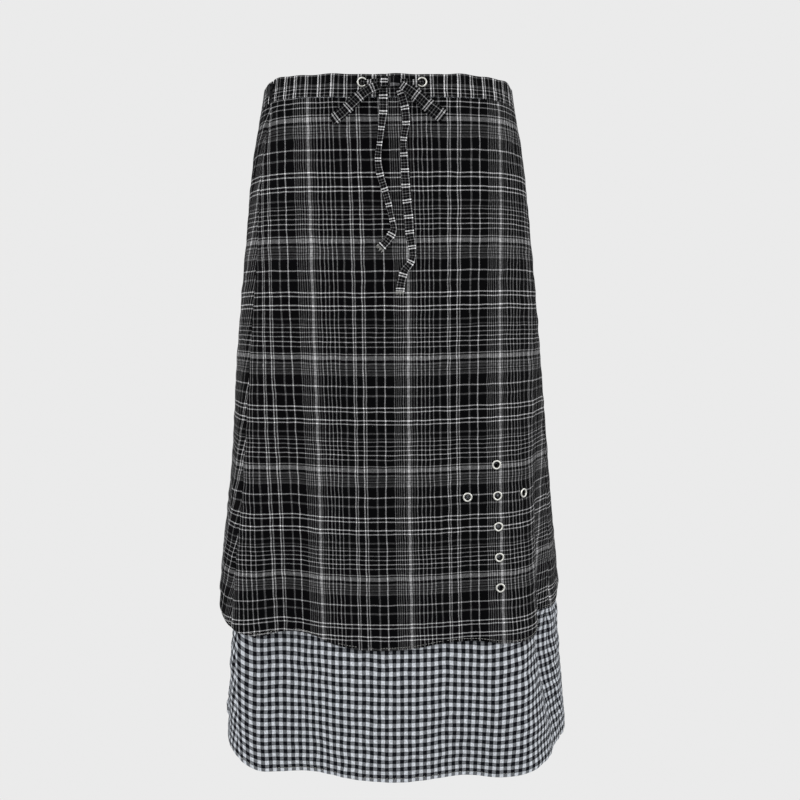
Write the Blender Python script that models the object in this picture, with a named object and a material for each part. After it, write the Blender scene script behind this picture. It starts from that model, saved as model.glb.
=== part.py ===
"""Two-layer A-line maxi skirt, hollow as worn: a checked overskirt over a longer gingham underskirt.

Lengths are in millimetres until a mesh is made, and the mesh is in metres. The origin is the middle of
the waist opening, +Z is up, and the front faces -Y. A place round the skirt is the share of the way from
the centre front (0) to the centre back (1 round the +X side, -1 round the -X side). A drop is a distance
down the cloth from the waistband's seam.
"""

import math

import bmesh
import bpy
import numpy as np
from mathutils import Matrix, Vector

MM = 0.001
SEAM_GAP = 0.3
SHARP_ANGLE = 40.0

# Cut lengths
BAND_HEIGHT = 26.0
OVERSKIRT_LENGTH = 658.0
UNDERSKIRT_LENGTH = 818.0
CLOTH = 1.4
BAND_CLOTH = 3.1

# The waistband's seam: its height at the centre front, and how far it dips at the sides
SEAM_HEIGHT = -19.0
WAIST_DIP = 20.0
WAIST_DIP_PLACE = 0.5
WAIST_DIP_SPREADS = (0.158, 0.165)
CLOTH_SLOPE = 0.995

# Side seams, where the panels meet
LEFT_SEAM = -0.345
LEFT_SEAM_DRIFT = 0.045
RIGHT_SEAM = 0.45

# The skirt's girth, level by level, down to the overskirt's hem
SECTION_COLUMNS = ("height", "left", "left_line", "right", "right_line", "front", "back")
SECTIONS = (
    (10, 144, 0, 144, 0, 115, 104),
    (-20, 149, 0, 148, 0, 115, 106),
    (-85, 161, 2, 160, 5, 119, 122),
    (-200, 174, 3, 174, 12, 121, 140),
    (-330, 187, 3, 188, 22, 122, 152),
    (-460, 198, 0, 201, 35, 123, 162),
    (-590, 215, -4, 213, 48, 124, 174),
    (-690, 226, -10, 221, 60, 125, 184),
)
FRONT_ROUNDNESS = 3.1
BACK_ROUNDNESS = 2.4
SIDE_LINE_POWER = 6

# The underskirt's girth at its own hem
UNDERSKIRT_SECTIONS = (
    (10, 219, 14, 231, 8, 145, 196),
    (-850, 219, 14, 231, 8, 145, 196),
)
UNDERSKIRT_FREE_DROP = 640.0

# Folds, which grow from nothing at their start to their depth at the hem
FOLD_POWER = 1.4
FOLD_MOST = 1.3
FOLD_COLUMNS = ("place", "half_width", "depth", "start_drop")
OVERSKIRT_FOLDS = (
    (-0.86, 0.07, -12, 160),
    (-0.72, 0.07, 14, 160),
    (-0.58, 0.06, -10, 200),
    (-0.42, 0.05, -11, 300),
    (-0.29, 0.05, 19, 200),
    (-0.20, 0.06, -16, 200),
    (0.00, 0.09, 5, 100),
    (0.26, 0.075, 23, 200),
    (0.39, 0.06, -30, 240),
    (0.62, 0.07, 12, 160),
    (0.78, 0.07, -12, 160),
    (1.00, 0.09, 12, 160),
)
UNDERSKIRT_FOLDS = (
    (-0.88, 0.07, -16, 300),
    (-0.74, 0.07, 16, 300),
    (-0.60, 0.06, -12, 300),
    (-0.42, 0.06, -13, 300),
    (-0.28, 0.05, 13, 300),
    (-0.17, 0.07, -18, 300),
    (0.00, 0.08, 9, 300),
    (0.15, 0.05, -12, 300),
    (0.25, 0.05, 13, 300),
    (0.39, 0.07, -16, 300),
    (0.62, 0.07, 14, 300),
    (0.78, 0.07, -14, 300),
    (1.00, 0.09, 14, 300),
)

# How much shorter the overskirt is cut than at its centre front
HEM_COLUMNS = ("place", "rise")
OVERSKIRT_HEM = (
    (-1.00, 5),
    (-0.80, 12),
    (-0.62, 32),
    (-0.50, 54),
    (-0.44, 55),
    (-0.40, 53),
    (-0.365, 48),
    (-0.34, 41),
    (-0.32, 35),
    (-0.30, 28),
    (-0.28, 21),
    (-0.25, 14),
    (-0.22, 16),
    (-0.18, 17),
    (-0.14, 14),
    (-0.10, 5),
    (-0.06, 1),
    (0.00, 0),
    (0.05, 2),
    (0.10, 7),
    (0.16, 10),
    (0.24, 7),
    (0.27, 9),
    (0.30, 15),
    (0.32, 21),
    (0.36, 25),
    (0.39, 25),
    (0.46, 28),
    (0.55, 34),
    (0.70, 24),
    (0.85, 10),
    (1.00, 5),
)
UNDERSKIRT_HEM = (
    (-1.00, 0),
    (-0.70, 12),
    (-0.46, 44),
    (-0.39, 41),
    (-0.36, 36),
    (-0.34, 31),
    (-0.30, 22),
    (-0.28, 15),
    (-0.25, 4),
    (-0.22, 1),
    (-0.12, 2),
    (0.00, 0),
    (0.10, 1),
    (0.20, -1),
    (0.24, 4),
    (0.30, 11),
    (0.36, 13),
    (0.42, 17),
    (0.46, 19),
    (0.52, 16),
    (0.70, 6),
    (1.00, 0),
)

# Space between the overskirt's outer face and the underskirt's outer face
LAYER_SPACE_AT_SEAM = 1.75
LAYER_SPACE = 4.4
LAYER_SPACE_DROP = 120.0
SIDE_SPACE = 18.0
SIDE_SPACE_PLACE = -0.45
SIDE_SPACE_SPREAD = 0.17
SIDE_SPACE_DROPS = (300.0, 650.0)

# Grid of the walls, and the short steps that slopes are measured over
PLACE_STEP = 0.004
DROP_STEP = 2.0
COLUMNS_ALL_ROUND = 84
OVERSKIRT_ROWS = 12
UNDERSKIRT_ROWS = 13
BAND_ROWS = 2

# Eyelets: turned brass rings, silver-plated, pressed through a hole in the cloth
EYELET_RADIUS = 6.0
EYELET_BORE = 2.7
EYELET_BARREL = 3.3
EYELET_HOLE = 3.8
EYELET_CLEARANCE = 0.8
EYELET_FLANGE = 0.8
EYELET_BACK_RADIUS = 5.2
EYELET_BACK_FLANGE = 0.5
EYELET_SIDES = 14
HOLE_CUTTER_LENGTH = 14.0
BAND_EYELETS = (("left", -29.3, -2.2), ("right", 38.3, -2.2))
CROSS_ARC = 128.0
CROSS_DROP = 466.5
CROSS_PITCH = 38.0
CROSS_ARM_PITCH = 34.5
CROSS_ARM_TILT = 1.2
CROSS_LEAN = 0.0275
CROSS = (
    ("top", 0, -1),
    ("left_arm", -1, 0),
    ("centre", 0, 0),
    ("right_arm", 1, 0),
    ("lower_1", 0, 1),
    ("lower_2", 0, 2),
    ("lower_3", 0, 3),
)

# The tie: a flat tape of the overskirt's cloth
TAPE_THICKNESS = 1.2
KNOT_CENTRE = (2.5, -2.0)
KNOT_SIZE = (23.0, 8.0, 13.0)
KNOT_STAND = 5.4
KNOT_SQUARENESS = 0.72
ROUTE_COLUMNS = ("side", "height", "stand", "turn", "width")
LEFT_TAIL = (
    (-5.4, -9.6, 4.2, 0, 9.5),
    (-5.4, -19.8, 3.4, 0, 9.8),
    (-5.6, -34.0, 2.6, 10, 9.4),
    (-7.4, -51.0, 3.4, 35, 8.6),
    (-9.4, -68.6, 4.4, 50, 8.6),
    (-11.4, -85.4, 4.0, 40, 8.6),
    (-9.5, -103.0, 3.6, 30, 9.0),
    (-4.0, -121.0, 3.8, 35, 9.0),
    (1.0, -140.6, 4.2, 45, 9.0),
    (4.6, -157.0, 4.2, 50, 9.0),
    (6.2, -166.0, 4.4, 40, 9.4),
    (3.0, -174.0, 5.0, 10, 10.0),
    (-2.0, -181.0, 5.4, 0, 10.5),
    (-8.0, -187.0, 5.0, 0, 11.0),
)
RIGHT_TAIL = (
    (13.2, -10.4, 3.0, 0, 8.0),
    (16.8, -21.0, 3.0, 0, 8.6),
    (19.6, -34.2, 2.8, 10, 9.4),
    (20.3, -48.6, 3.4, 30, 9.6),
    (17.6, -66.0, 4.4, 45, 9.4),
    (18.0, -83.0, 4.0, 35, 9.4),
    (19.1, -100.0, 3.2, 20, 9.6),
    (20.1, -119.0, 2.6, 0, 10.2),
    (21.9, -138.3, 2.6, 0, 10.4),
    (23.5, -155.3, 2.6, 0, 10.4),
    (24.8, -173.0, 2.8, 5, 10.2),
    (27.2, -186.0, 3.4, 20, 9.8),
    (28.2, -198.0, 4.4, 35, 9.6),
    (24.7, -206.8, 5.0, 30, 9.4),
    (18.8, -213.7, 4.6, 10, 9.8),
    (16.1, -223.0, 3.8, 0, 10.0),
    (14.3, -232.0, 3.4, 0, 10.0),
    (13.6, -238.0, 3.2, 0, 10.0),
)
LOOP_COLUMNS = ("side", "height", "width")
LEFT_LOOP = (
    (-10.5, -5.6, 8.5),
    (-20.0, -9.8, 11.0),
    (-33.0, -18.6, 12.5),
    (-46.0, -31.0, 13.0),
    (-62.5, -44.5, 13.0),
)
RIGHT_LOOP = (
    (14.4, -4.6, 8.4),
    (25.0, -11.5, 13.0),
    (38.0, -21.5, 15.0),
    (50.0, -31.5, 16.0),
    (62.5, -40.5, 15.5),
)
LOOP_BACK_STAND = 5.2
LOOP_FRONT_STAND = 9.4
TAPE_STEPS_TAIL = 30
TAPE_STEPS_LOOP = 12

# The tape between an eyelet and the knot: how far along it runs, how far off the cloth, how wide and thick
STRAND_COLUMNS = ("share", "stand", "width", "thickness")
STRAND = (
    (0.00, -7.0, 4.4, 2.6),
    (0.00, -1.5, 4.4, 2.6),
    (0.00, 1.6, 4.2, 2.4),
    (0.16, 3.2, 4.8, 1.7),
    (0.50, 2.8, 6.4, 1.4),
    (1.00, 2.8, 7.0, 1.4),
)
STRAND_STEPS = 14

# The side zip: closed, in the left seam, its teeth showing in the waistband's slit
ZIP_SLIT = 6.4
ZIP_TEETH_WIDTH = 3.8
ZIP_TAPE_WIDTH = 20.0
ZIP_TAPE_THICKNESS = 0.9
ZIP_TAPE_CLEARANCE = 0.9
ZIP_END_DROP = 165.0
ZIP_TOP = -24.0
ZIP_TEETH_TOP = -23.0
ZIP_TEETH_END = -1.0
ZIP_TEETH_DEPTH = 0.9
ZIP_COLUMNS = 4
SLIDER_SIZE = (4.2, 7.0, 1.7)
SLIDER_SINK = 0.5
BLOCK_BEVEL = 0.35
PULL_RISE = 1.6
PULL_WIDTH = 5.0
PULL_NECK = 2.6
PULL_LENGTH = 15.0
PULL_THICKNESS = 1.0
PULL_STAND = 2.9


def clear_scene():
    for item in list(bpy.data.objects):
        bpy.data.objects.remove(item, do_unlink=True)


def material(name, colour, roughness, metallic=0.0):
    made = bpy.data.materials.new(name)
    made.use_nodes = True
    shader = made.node_tree.nodes["Principled BSDF"]
    shader.inputs["Base Color"].default_value = (*colour, 1.0)
    shader.inputs["Roughness"].default_value = roughness
    shader.inputs["Metallic"].default_value = metallic
    return made


def columns_of(table, names):
    """The table's columns as arrays, by name."""
    return dict(zip(names, np.array(table, float).T))


def smooth(x, at, value):
    """A column's value between its rows: cubics through the rows, with slopes from the neighbouring rows."""
    slope = np.gradient(value, at)
    row = np.clip(np.searchsorted(at, x, side="right") - 1, 0, len(at) - 2)
    step = at[row + 1] - at[row]
    t = np.clip((x - at[row]) / step, 0, 1)
    ease = t * t * (3 - 2 * t)
    level = value[row] * (1 - ease) + value[row + 1] * ease
    return level + step * t * (1 - t) * (slope[row] * (1 - t) - slope[row + 1] * t)


def ramp(x, start, end):
    """0 before start, 1 after end, and an even ease between them."""
    t = np.clip((x - start) / (end - start), 0, 1)
    return t * t * (3 - 2 * t)


def bump(distance, half_width):
    return np.exp(-((distance / half_width) ** 2))


def place_between(place, centre):
    """The distance round the skirt between two places, the short way."""
    return (place - centre + 1) % 2 - 1


class Girth:
    """The closed line of the skirt at each height: four quarters of a superellipse, out to the sizes of a
    section table, with the two side points moved back or forward by the side lines."""

    LEVELS = 44
    BEARINGS = 181

    def __init__(self, table):
        rows = columns_of(table[::-1], SECTION_COLUMNS)
        self.rows = rows
        self.levels = np.linspace(rows["height"][0], rows["height"][-1], self.LEVELS)
        self.places = np.linspace(-1, 1, 2 * self.BEARINGS - 1)
        turn = np.linspace(0, math.pi, self.BEARINGS)
        self.bearing_of = np.zeros((self.LEVELS, len(self.places)))
        self.half_length = np.zeros((self.LEVELS, 2))
        for index, level in enumerate(self.levels):
            halves = []
            for side, sign in enumerate((-1, 1)):
                x, y = self.at_bearing(sign * turn, np.full_like(turn, level))
                along = np.concatenate([[0], np.cumsum(np.hypot(np.diff(x), np.diff(y)))])
                self.half_length[index, side] = along[-1]
                share = np.linspace(0, 1, self.BEARINGS)
                halves.append(sign * np.interp(share, along / along[-1], turn))
            self.bearing_of[index] = np.concatenate([halves[0][:0:-1], halves[1]])

    def size(self, name, height):
        return smooth(height, self.rows["height"], self.rows[name])

    def at_bearing(self, bearing, height):
        """Points on the girth in the direction of a bearing from the front, before any fold."""
        sine, cosine = np.sin(bearing), np.cos(bearing)
        wide = np.where(sine < 0, self.size("left", height), self.size("right", height))
        deep = np.where(cosine > 0, self.size("front", height), self.size("back", height))
        line = np.where(sine < 0, self.size("left_line", height), self.size("right_line", height))
        power = np.where(cosine > 0, FRONT_ROUNDNESS, BACK_ROUNDNESS)
        reach = (np.abs(sine / wide) ** power + np.abs(cosine / deep) ** power) ** (-1 / power)
        return reach * sine, -reach * cosine + line * np.abs(sine) ** SIDE_LINE_POWER

    def bearing(self, place, height):
        """The bearing of a place round the girth, from evenly spaced arc lengths."""
        place = (np.asarray(place, float) + 1) % 2 - 1
        row = np.clip((height - self.levels[0]) / (self.levels[1] - self.levels[0]), 0, self.LEVELS - 1.001)
        column = (place + 1) / 2 * (len(self.places) - 1)
        column = np.clip(column, 0, len(self.places) - 1.001)
        i, j = row.astype(int), column.astype(int)
        s, t = row - i, column - j
        table = self.bearing_of
        near = table[i, j] * (1 - t) + table[i, j + 1] * t
        far = table[i + 1, j] * (1 - t) + table[i + 1, j + 1] * t
        return near * (1 - s) + far * s

    def length_to_back(self, place, height):
        """The arc length from the centre front to the centre back, on the place's own side."""
        left = np.interp(height, self.levels, self.half_length[:, 0])
        right = np.interp(height, self.levels, self.half_length[:, 1])
        return np.where(place < 0, left, right)

    def folded(self, place, height, drop, folds, length):
        """Points at places and heights, with the folds pushed out or in along the girth's normal."""
        ahead = self.at_bearing(self.bearing(place + PLACE_STEP, height), height)
        behind = self.at_bearing(self.bearing(place - PLACE_STEP, height), height)
        here = self.at_bearing(self.bearing(place, height), height)
        along = np.stack([ahead[0] - behind[0], ahead[1] - behind[1]])
        along = along / np.hypot(*along)
        push = np.zeros_like(here[0])
        for centre, half_width, depth, start in folds:
            grown = np.clip((drop - start) / (length - start), 0, FOLD_MOST) ** FOLD_POWER
            push = push + depth * grown * bump(place_between(place, centre), half_width)
        return np.stack([here[0] + along[1] * push, here[1] - along[0] * push])


GIRTH = Girth(SECTIONS)
UNDERSKIRT_GIRTH = Girth(UNDERSKIRT_SECTIONS)


def seam_height(place):
    place = place_between(place, 0)
    spread = np.where(place < 0, *WAIST_DIP_SPREADS)
    return SEAM_HEIGHT - WAIST_DIP * bump(np.abs(place) - WAIST_DIP_PLACE, spread)


def height_at(place, drop):
    return seam_height(place) - CLOTH_SLOPE * drop


def hem_drop(place, length, table):
    rows = columns_of(table, HEM_COLUMNS)
    return length - smooth(place_between(place, 0), rows["place"], rows["rise"])


def left_seam(drop):
    """The left seam's place: it comes forward a little on its way down."""
    return LEFT_SEAM + LEFT_SEAM_DRIFT * drop / OVERSKIRT_LENGTH


def plan_normal(points_at, place):
    """Unit vectors out of the cloth, level with the ground."""
    step = PLACE_STEP
    ahead, behind = points_at(place + step), points_at(place - step)
    along = (ahead - behind)[:2]
    along = along / np.hypot(*along)
    return np.stack([along[1], -along[0], np.zeros_like(along[0])])


def overskirt_face(place, drop, inward=0.0):
    """The overskirt's outer face, or a face that lies inward of it; the waistband carries it on above."""
    place, drop = np.broadcast_arrays(np.asarray(place, float), np.asarray(drop, float))

    def points_at(where):
        height = height_at(where, drop)
        x, y = GIRTH.folded(where, height, np.maximum(drop, 0), OVERSKIRT_FOLDS, OVERSKIRT_LENGTH)
        return np.stack([x, y, height])

    return points_at(place) - inward * plan_normal(points_at, place)


def layer_space(place, drop):
    hang = ramp(drop, 0, LAYER_SPACE_DROP)
    side = ramp(drop, *SIDE_SPACE_DROPS) * bump(place_between(place, SIDE_SPACE_PLACE), SIDE_SPACE_SPREAD)
    return LAYER_SPACE_AT_SEAM + (LAYER_SPACE - LAYER_SPACE_AT_SEAM) * hang + SIDE_SPACE * side


def underskirt_face(place, drop, inward=0.0):
    """The underskirt's outer face: under the overskirt, then free down to its own hem."""
    place, drop = np.broadcast_arrays(np.asarray(place, float), np.asarray(drop, float))

    def points_at(where):
        covered = overskirt_face(where, drop, layer_space(where, drop))
        height = height_at(where, drop)
        x, y = UNDERSKIRT_GIRTH.folded(where, height, drop, UNDERSKIRT_FOLDS, UNDERSKIRT_LENGTH)
        free = np.stack([x, y, height])
        share = ramp(drop, UNDERSKIRT_FREE_DROP, UNDERSKIRT_LENGTH)
        return covered * (1 - share) + free * share

    return points_at(place) - inward * plan_normal(points_at, place)


def closed_wall(outer, inner):
    """A wall between two grids of points, each of shape (3, rows, columns), closed round its four edges."""
    rows, columns = outer.shape[1:]
    points = np.concatenate([outer.reshape(3, -1), inner.reshape(3, -1)], axis=1).T
    index = np.arange(rows * columns).reshape(rows, columns)
    back = rows * columns
    a, b, c, d = index[:-1, :-1], index[:-1, 1:], index[1:, 1:], index[1:, :-1]
    faces = [np.stack([a, d, c, b], -1).reshape(-1, 4)]
    faces.append(np.stack([a + back, b + back, c + back, d + back], -1).reshape(-1, 4))
    rim = np.concatenate([index[0], index[1:, -1], index[-1, -2::-1], index[-2:0:-1, 0]])
    ahead = np.roll(rim, -1)
    faces.append(np.stack([rim, ahead, ahead + back, rim + back], -1))
    return points, np.concatenate(faces)


def add_object(name, points, faces, finish):
    mesh = bpy.data.meshes.new(name)
    mesh.from_pydata((np.asarray(points, float) * MM).tolist(), [], [list(map(int, f)) for f in faces])
    mesh.validate()
    made = bpy.data.objects.new(name, mesh)
    bpy.context.scene.collection.objects.link(made)
    work = bmesh.new()
    work.from_mesh(mesh)
    bmesh.ops.recalc_face_normals(work, faces=work.faces)
    work.to_mesh(mesh)
    work.free()
    mesh.materials.append(finish)
    mesh.shade_smooth()
    mesh.set_sharp_from_angle(angle=math.radians(SHARP_ANGLE))
    return made


def seam_gap_share(gap):
    """A gap's share of the way from front to back, at the waist."""
    half_girth = float(np.mean(GIRTH.half_length[-1]))
    return gap / half_girth


def front_edges(left_gap, right_gap):
    """The places of the front's two edges, for a drop."""
    return lambda drop: (left_seam(drop) + left_gap, RIGHT_SEAM - right_gap)


def back_edges(left_gap, right_gap):
    return lambda drop: (RIGHT_SEAM + right_gap, left_seam(drop) + 2 - left_gap)


def panel(name, face, edges, top, length, hem, rows, thickness, finish):
    """One cut piece: a grid of its places by its rows, as thick as the cloth."""
    share = np.linspace(0, 1, rows + 1)[:, None]
    start, end = edges(top + (length - top) * share)
    columns = round(float(np.mean(end - start)) / 2 * COLUMNS_ALL_ROUND)
    places = start + (end - start) * np.linspace(0, 1, columns + 1)
    drops = top + (hem(places) - top) * share
    points, faces = closed_wall(face(places, drops, 0.0), face(places, drops, thickness))
    return add_object(name, points, faces, finish)


def body_panels(cloths):
    """The front and back of both skirts, and of the waistband."""
    half = seam_gap_share(SEAM_GAP) / 2
    slit = seam_gap_share(ZIP_SLIT) / 2
    made = {}
    for side, edges_of in (("front", front_edges), ("back", back_edges)):
        made["overskirt_" + side] = panel(
            "overskirt_" + side,
            overskirt_face,
            edges_of(half, half),
            0.0,
            OVERSKIRT_LENGTH,
            lambda where: hem_drop(where, OVERSKIRT_LENGTH, OVERSKIRT_HEM),
            OVERSKIRT_ROWS,
            CLOTH,
            cloths["plaid"],
        )
        made["underskirt_" + side] = panel(
            "underskirt_" + side,
            underskirt_face,
            edges_of(half, half),
            0.0,
            UNDERSKIRT_LENGTH,
            lambda where: hem_drop(where, UNDERSKIRT_LENGTH, UNDERSKIRT_HEM),
            UNDERSKIRT_ROWS,
            CLOTH,
            cloths["gingham"],
        )
        made["waistband_" + side] = panel(
            "waistband_" + side,
            overskirt_face,
            edges_of(slit, half),
            -BAND_HEIGHT,
            -SEAM_GAP,
            lambda where: np.full_like(where, -SEAM_GAP),
            BAND_ROWS,
            BAND_CLOTH,
            cloths["plaid"],
        )
    return made


def frame_on(place, drop):
    """A 4x4 matrix on the overskirt's or waistband's outer face: local Z out of the cloth, local Y up it."""
    here = overskirt_face(place, drop)
    along = overskirt_face(place + PLACE_STEP, drop) - overskirt_face(place - PLACE_STEP, drop)
    upward = overskirt_face(place, drop - DROP_STEP) - overskirt_face(place, drop + DROP_STEP)
    x_axis = Vector(along).normalized()
    z_axis = x_axis.cross(Vector(upward)).normalized()
    y_axis = z_axis.cross(x_axis)
    frame = Matrix((x_axis, y_axis, z_axis)).transposed().to_4x4()
    frame.translation = Vector(here) * MM
    return frame


def turned_ring(name, profile, frame, finish):
    """A solid of revolution: the closed profile of (radius, height) turned round the frame's Z."""
    turn = np.arange(EYELET_SIDES) * 2 * math.pi / EYELET_SIDES
    radius, height = np.array(profile, float).T
    points = np.stack(
        [
            np.outer(np.cos(turn), radius),
            np.outer(np.sin(turn), radius),
            np.outer(np.ones_like(turn), height),
        ],
        -1,
    ).reshape(-1, 3)
    count = len(profile)
    faces = []
    for i in range(EYELET_SIDES):
        for j in range(count):
            next_i, next_j = (i + 1) % EYELET_SIDES, (j + 1) % count
            faces.append((i * count + j, next_i * count + j, next_i * count + next_j, i * count + next_j))
    made = add_object(name, points, faces, finish)
    made.matrix_world = frame


def eyelet_profile(thickness):
    """The rolled ring outside, the barrel through the cloth, and the flange behind it."""
    face = EYELET_CLEARANCE
    behind = -thickness - EYELET_CLEARANCE
    return (
        (EYELET_BORE, face + 0.55 * EYELET_FLANGE),
        ((EYELET_BORE + EYELET_RADIUS) / 2, face + EYELET_FLANGE),
        (0.92 * EYELET_RADIUS, face + 0.7 * EYELET_FLANGE),
        (EYELET_RADIUS, face),
        (EYELET_BARREL, face),
        (EYELET_BARREL, behind),
        (EYELET_BACK_RADIUS, behind),
        (EYELET_BACK_RADIUS, behind - EYELET_BACK_FLANGE),
        (EYELET_BORE, behind - EYELET_BACK_FLANGE),
    )


def hole_cutter(name, frames):
    """Cylinders through the cloth, one for each eyelet, in one guide object that isn't rendered."""
    work = bmesh.new()
    for frame in frames:
        bmesh.ops.create_cone(
            work,
            cap_ends=True,
            segments=EYELET_SIDES,
            radius1=EYELET_HOLE * MM,
            radius2=EYELET_HOLE * MM,
            depth=HOLE_CUTTER_LENGTH * MM,
            matrix=frame,
        )
    mesh = bpy.data.meshes.new(name)
    work.to_mesh(mesh)
    work.free()
    made = bpy.data.objects.new(name, mesh)
    bpy.context.scene.collection.objects.link(made)
    made.hide_render = True
    made.display_type = "WIRE"
    return made


def cut(target, cutter):
    boolean = target.modifiers.new("eyelet_holes", "BOOLEAN")
    boolean.operation = "DIFFERENCE"
    boolean.solver = "EXACT"
    boolean.object = cutter


def place_at(side, height):
    """The place and drop of a point on the front, from its X and its height."""
    places = np.linspace(-0.36, 0.36, 361)
    x, _ = GIRTH.at_bearing(GIRTH.bearing(places, np.full_like(places, height)), np.full_like(places, height))
    place = float(np.interp(side, x, places))
    return place, float((seam_height(place) - height) / CLOTH_SLOPE)


def band_eyelets(band, metal):
    frames = []
    for side, x, height in BAND_EYELETS:
        frame = frame_on(*place_at(x, height))
        turned_ring("eyelet_band_" + side, eyelet_profile(BAND_CLOTH), frame, metal)
        frames.append(frame)
    cut(band, hole_cutter("band_holes", frames))
    return frames


def cross_eyelets(front, metal):
    frames = []
    for label, across, down in CROSS:
        drop = CROSS_DROP + down * CROSS_PITCH - across * CROSS_ARM_TILT
        arc = CROSS_ARC + across * CROSS_ARM_PITCH + (drop - CROSS_DROP) * CROSS_LEAN
        height = np.array(SEAM_HEIGHT - CLOTH_SLOPE * drop)
        place = arc / float(GIRTH.length_to_back(1, height))
        frame = frame_on(place, drop)
        turned_ring("eyelet_cross_" + label, eyelet_profile(CLOTH), frame, metal)
        frames.append(frame)
    cut(front, hole_cutter("cross_holes", frames))


def front_point(side, height, stand):
    """A point in front of the cloth: X, height and the distance that it stands off the outer face."""
    place, drop = place_at(side, height)
    surface = overskirt_face(np.array([place]), np.array([drop]))[:, 0]
    return np.array([side, surface[1] - stand, height])


def ribbon(name, centres, across, widths, thickness, finish):
    """A flat tape along a line of centres, as wide as widths in the direction across, closed at both ends."""
    along = np.gradient(centres, axis=0)
    along /= np.linalg.norm(along, axis=1)[:, None]
    across = across - (across * along).sum(1)[:, None] * along
    across /= np.linalg.norm(across, axis=1)[:, None]
    out = np.cross(along, across)
    corners = ((-0.5, -0.5), (0.5, -0.5), (0.5, 0.5), (-0.5, 0.5))
    rings = [centres + across * widths[:, None] * s + out * thickness[:, None] * t for s, t in corners]
    points = np.stack(rings, 1).reshape(-1, 3)
    count = len(centres)
    faces = []
    for i in range(count - 1):
        for j in range(4):
            k = (j + 1) % 4
            faces.append((i * 4 + j, i * 4 + k, i * 4 + 4 + k, i * 4 + 4 + j))
    faces.append((3, 2, 1, 0))
    end = (count - 1) * 4
    faces.append((end, end + 1, end + 2, end + 3))
    return add_object(name, points, faces, finish)


def tail(name, table, finish):
    """A free end of the tie, hanging in front of the cloth and turning a little on itself."""
    rows = columns_of(table, ROUTE_COLUMNS)
    marks = np.array([front_point(*row) for row in zip(rows["side"], rows["height"], rows["stand"])])
    along = np.concatenate([[0], np.cumsum(np.linalg.norm(np.diff(marks, axis=0), axis=1))])
    at = np.linspace(0, along[-1], TAPE_STEPS_TAIL + 1)
    centres = np.stack([smooth(at, along, marks[:, k]) for k in range(3)], axis=1)
    turn = np.radians(smooth(at, along, rows["turn"]))
    direction = np.gradient(centres, axis=0)
    flat = np.cross(direction, np.array([0.0, -1.0, 0.0]))
    flat /= np.linalg.norm(flat, axis=1)[:, None]
    across = flat * np.cos(turn)[:, None] + np.array([0.0, 1.0, 0.0]) * np.sin(turn)[:, None]
    widths = smooth(at, along, rows["width"])
    ribbon(name, centres, across, widths, np.full_like(widths, TAPE_THICKNESS), finish)


def loop(name, table, finish):
    """A bow loop: the tape runs out behind, turns over at the tip and comes back in front."""
    rows = columns_of(table, LOOP_COLUMNS)
    share = np.linspace(0, 1, TAPE_STEPS_LOOP + 1)
    at = np.linspace(0, 1, len(rows["side"]))
    side, height = smooth(share, at, rows["side"]), smooth(share, at, rows["height"])
    width = smooth(share, at, rows["width"])
    middle = (LOOP_BACK_STAND + LOOP_FRONT_STAND) / 2
    half = (LOOP_FRONT_STAND - LOOP_BACK_STAND) / 2
    apart = half * np.sqrt(np.clip(1 - share**6, 0, 1)) * (0.45 + 0.55 * ramp(share, 0, 0.35))
    out = [front_point(x, z, middle - h) for x, z, h in zip(side, height, apart)]
    home = [front_point(x, z, middle + h) for x, z, h in zip(side[-2::-1], height[-2::-1], apart[-2::-1])]
    centres = np.array(out + home)
    widths = np.concatenate([width, width[-2::-1]])
    run = np.array([side[-1] - side[0], 0.0, height[-1] - height[0]])
    across = np.cross(run, np.array([0.0, -1.0, 0.0]))
    across = np.broadcast_to(across / np.linalg.norm(across), centres.shape)
    ribbon(name, centres, across, widths, np.full_like(widths, TAPE_THICKNESS), finish)


def strand(name, frame, end, finish):
    """The tape where it comes out of an eyelet and runs to the knot, narrow in the bore and flat beyond it."""
    rows = columns_of(STRAND, STRAND_COLUMNS)
    start = np.array(frame.translation) / MM
    out_of_eyelet = np.array(frame.to_3x3().col[2])
    share = rows["share"][:, None]
    out = out_of_eyelet * (1 - share) + np.array([0.0, -1.0, 0.0]) * share
    marks = start + (end - start) * share + out * rows["stand"][:, None]
    along = np.concatenate([[0], np.cumsum(np.linalg.norm(np.diff(marks, axis=0), axis=1))])
    at = np.linspace(0, along[-1], STRAND_STEPS + 1)
    centres = np.stack([smooth(at, along, marks[:, k]) for k in range(3)], axis=1)
    across = np.broadcast_to(np.array([0.0, 0.0, 1.0]), centres.shape)
    widths = smooth(at, along, rows["width"])
    ribbon(name, centres, across, widths, smooth(at, along, rows["thickness"]), finish)


def knot(finish):
    """The bow's knot: a rounded block in front of the waistband."""
    x, z = KNOT_CENTRE
    centre = front_point(x, z, KNOT_STAND)
    work = bmesh.new()
    bmesh.ops.create_uvsphere(work, u_segments=14, v_segments=8, radius=1.0)
    points = np.array([v.co for v in work.verts])
    faces = [[v.index for v in f.verts] for f in work.faces]
    work.free()
    square = np.sign(points) * np.abs(points) ** KNOT_SQUARENESS
    add_object("tie_knot", centre + square * np.array(KNOT_SIZE) / 2, faces, finish)


def tie(frames, finish):
    knot(finish)
    tail("tie_tail_left", LEFT_TAIL, finish)
    tail("tie_tail_right", RIGHT_TAIL, finish)
    loop("tie_loop_left", LEFT_LOOP, finish)
    loop("tie_loop_right", RIGHT_LOOP, finish)
    knot_x, knot_z = KNOT_CENTRE
    reach = KNOT_SIZE[0] / 2 + SEAM_GAP
    strand("tie_strand_left", frames[0], front_point(knot_x - reach, knot_z, 0.0), finish)
    strand("tie_strand_right", frames[1], front_point(knot_x + reach, knot_z, 0.0), finish)


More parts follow.
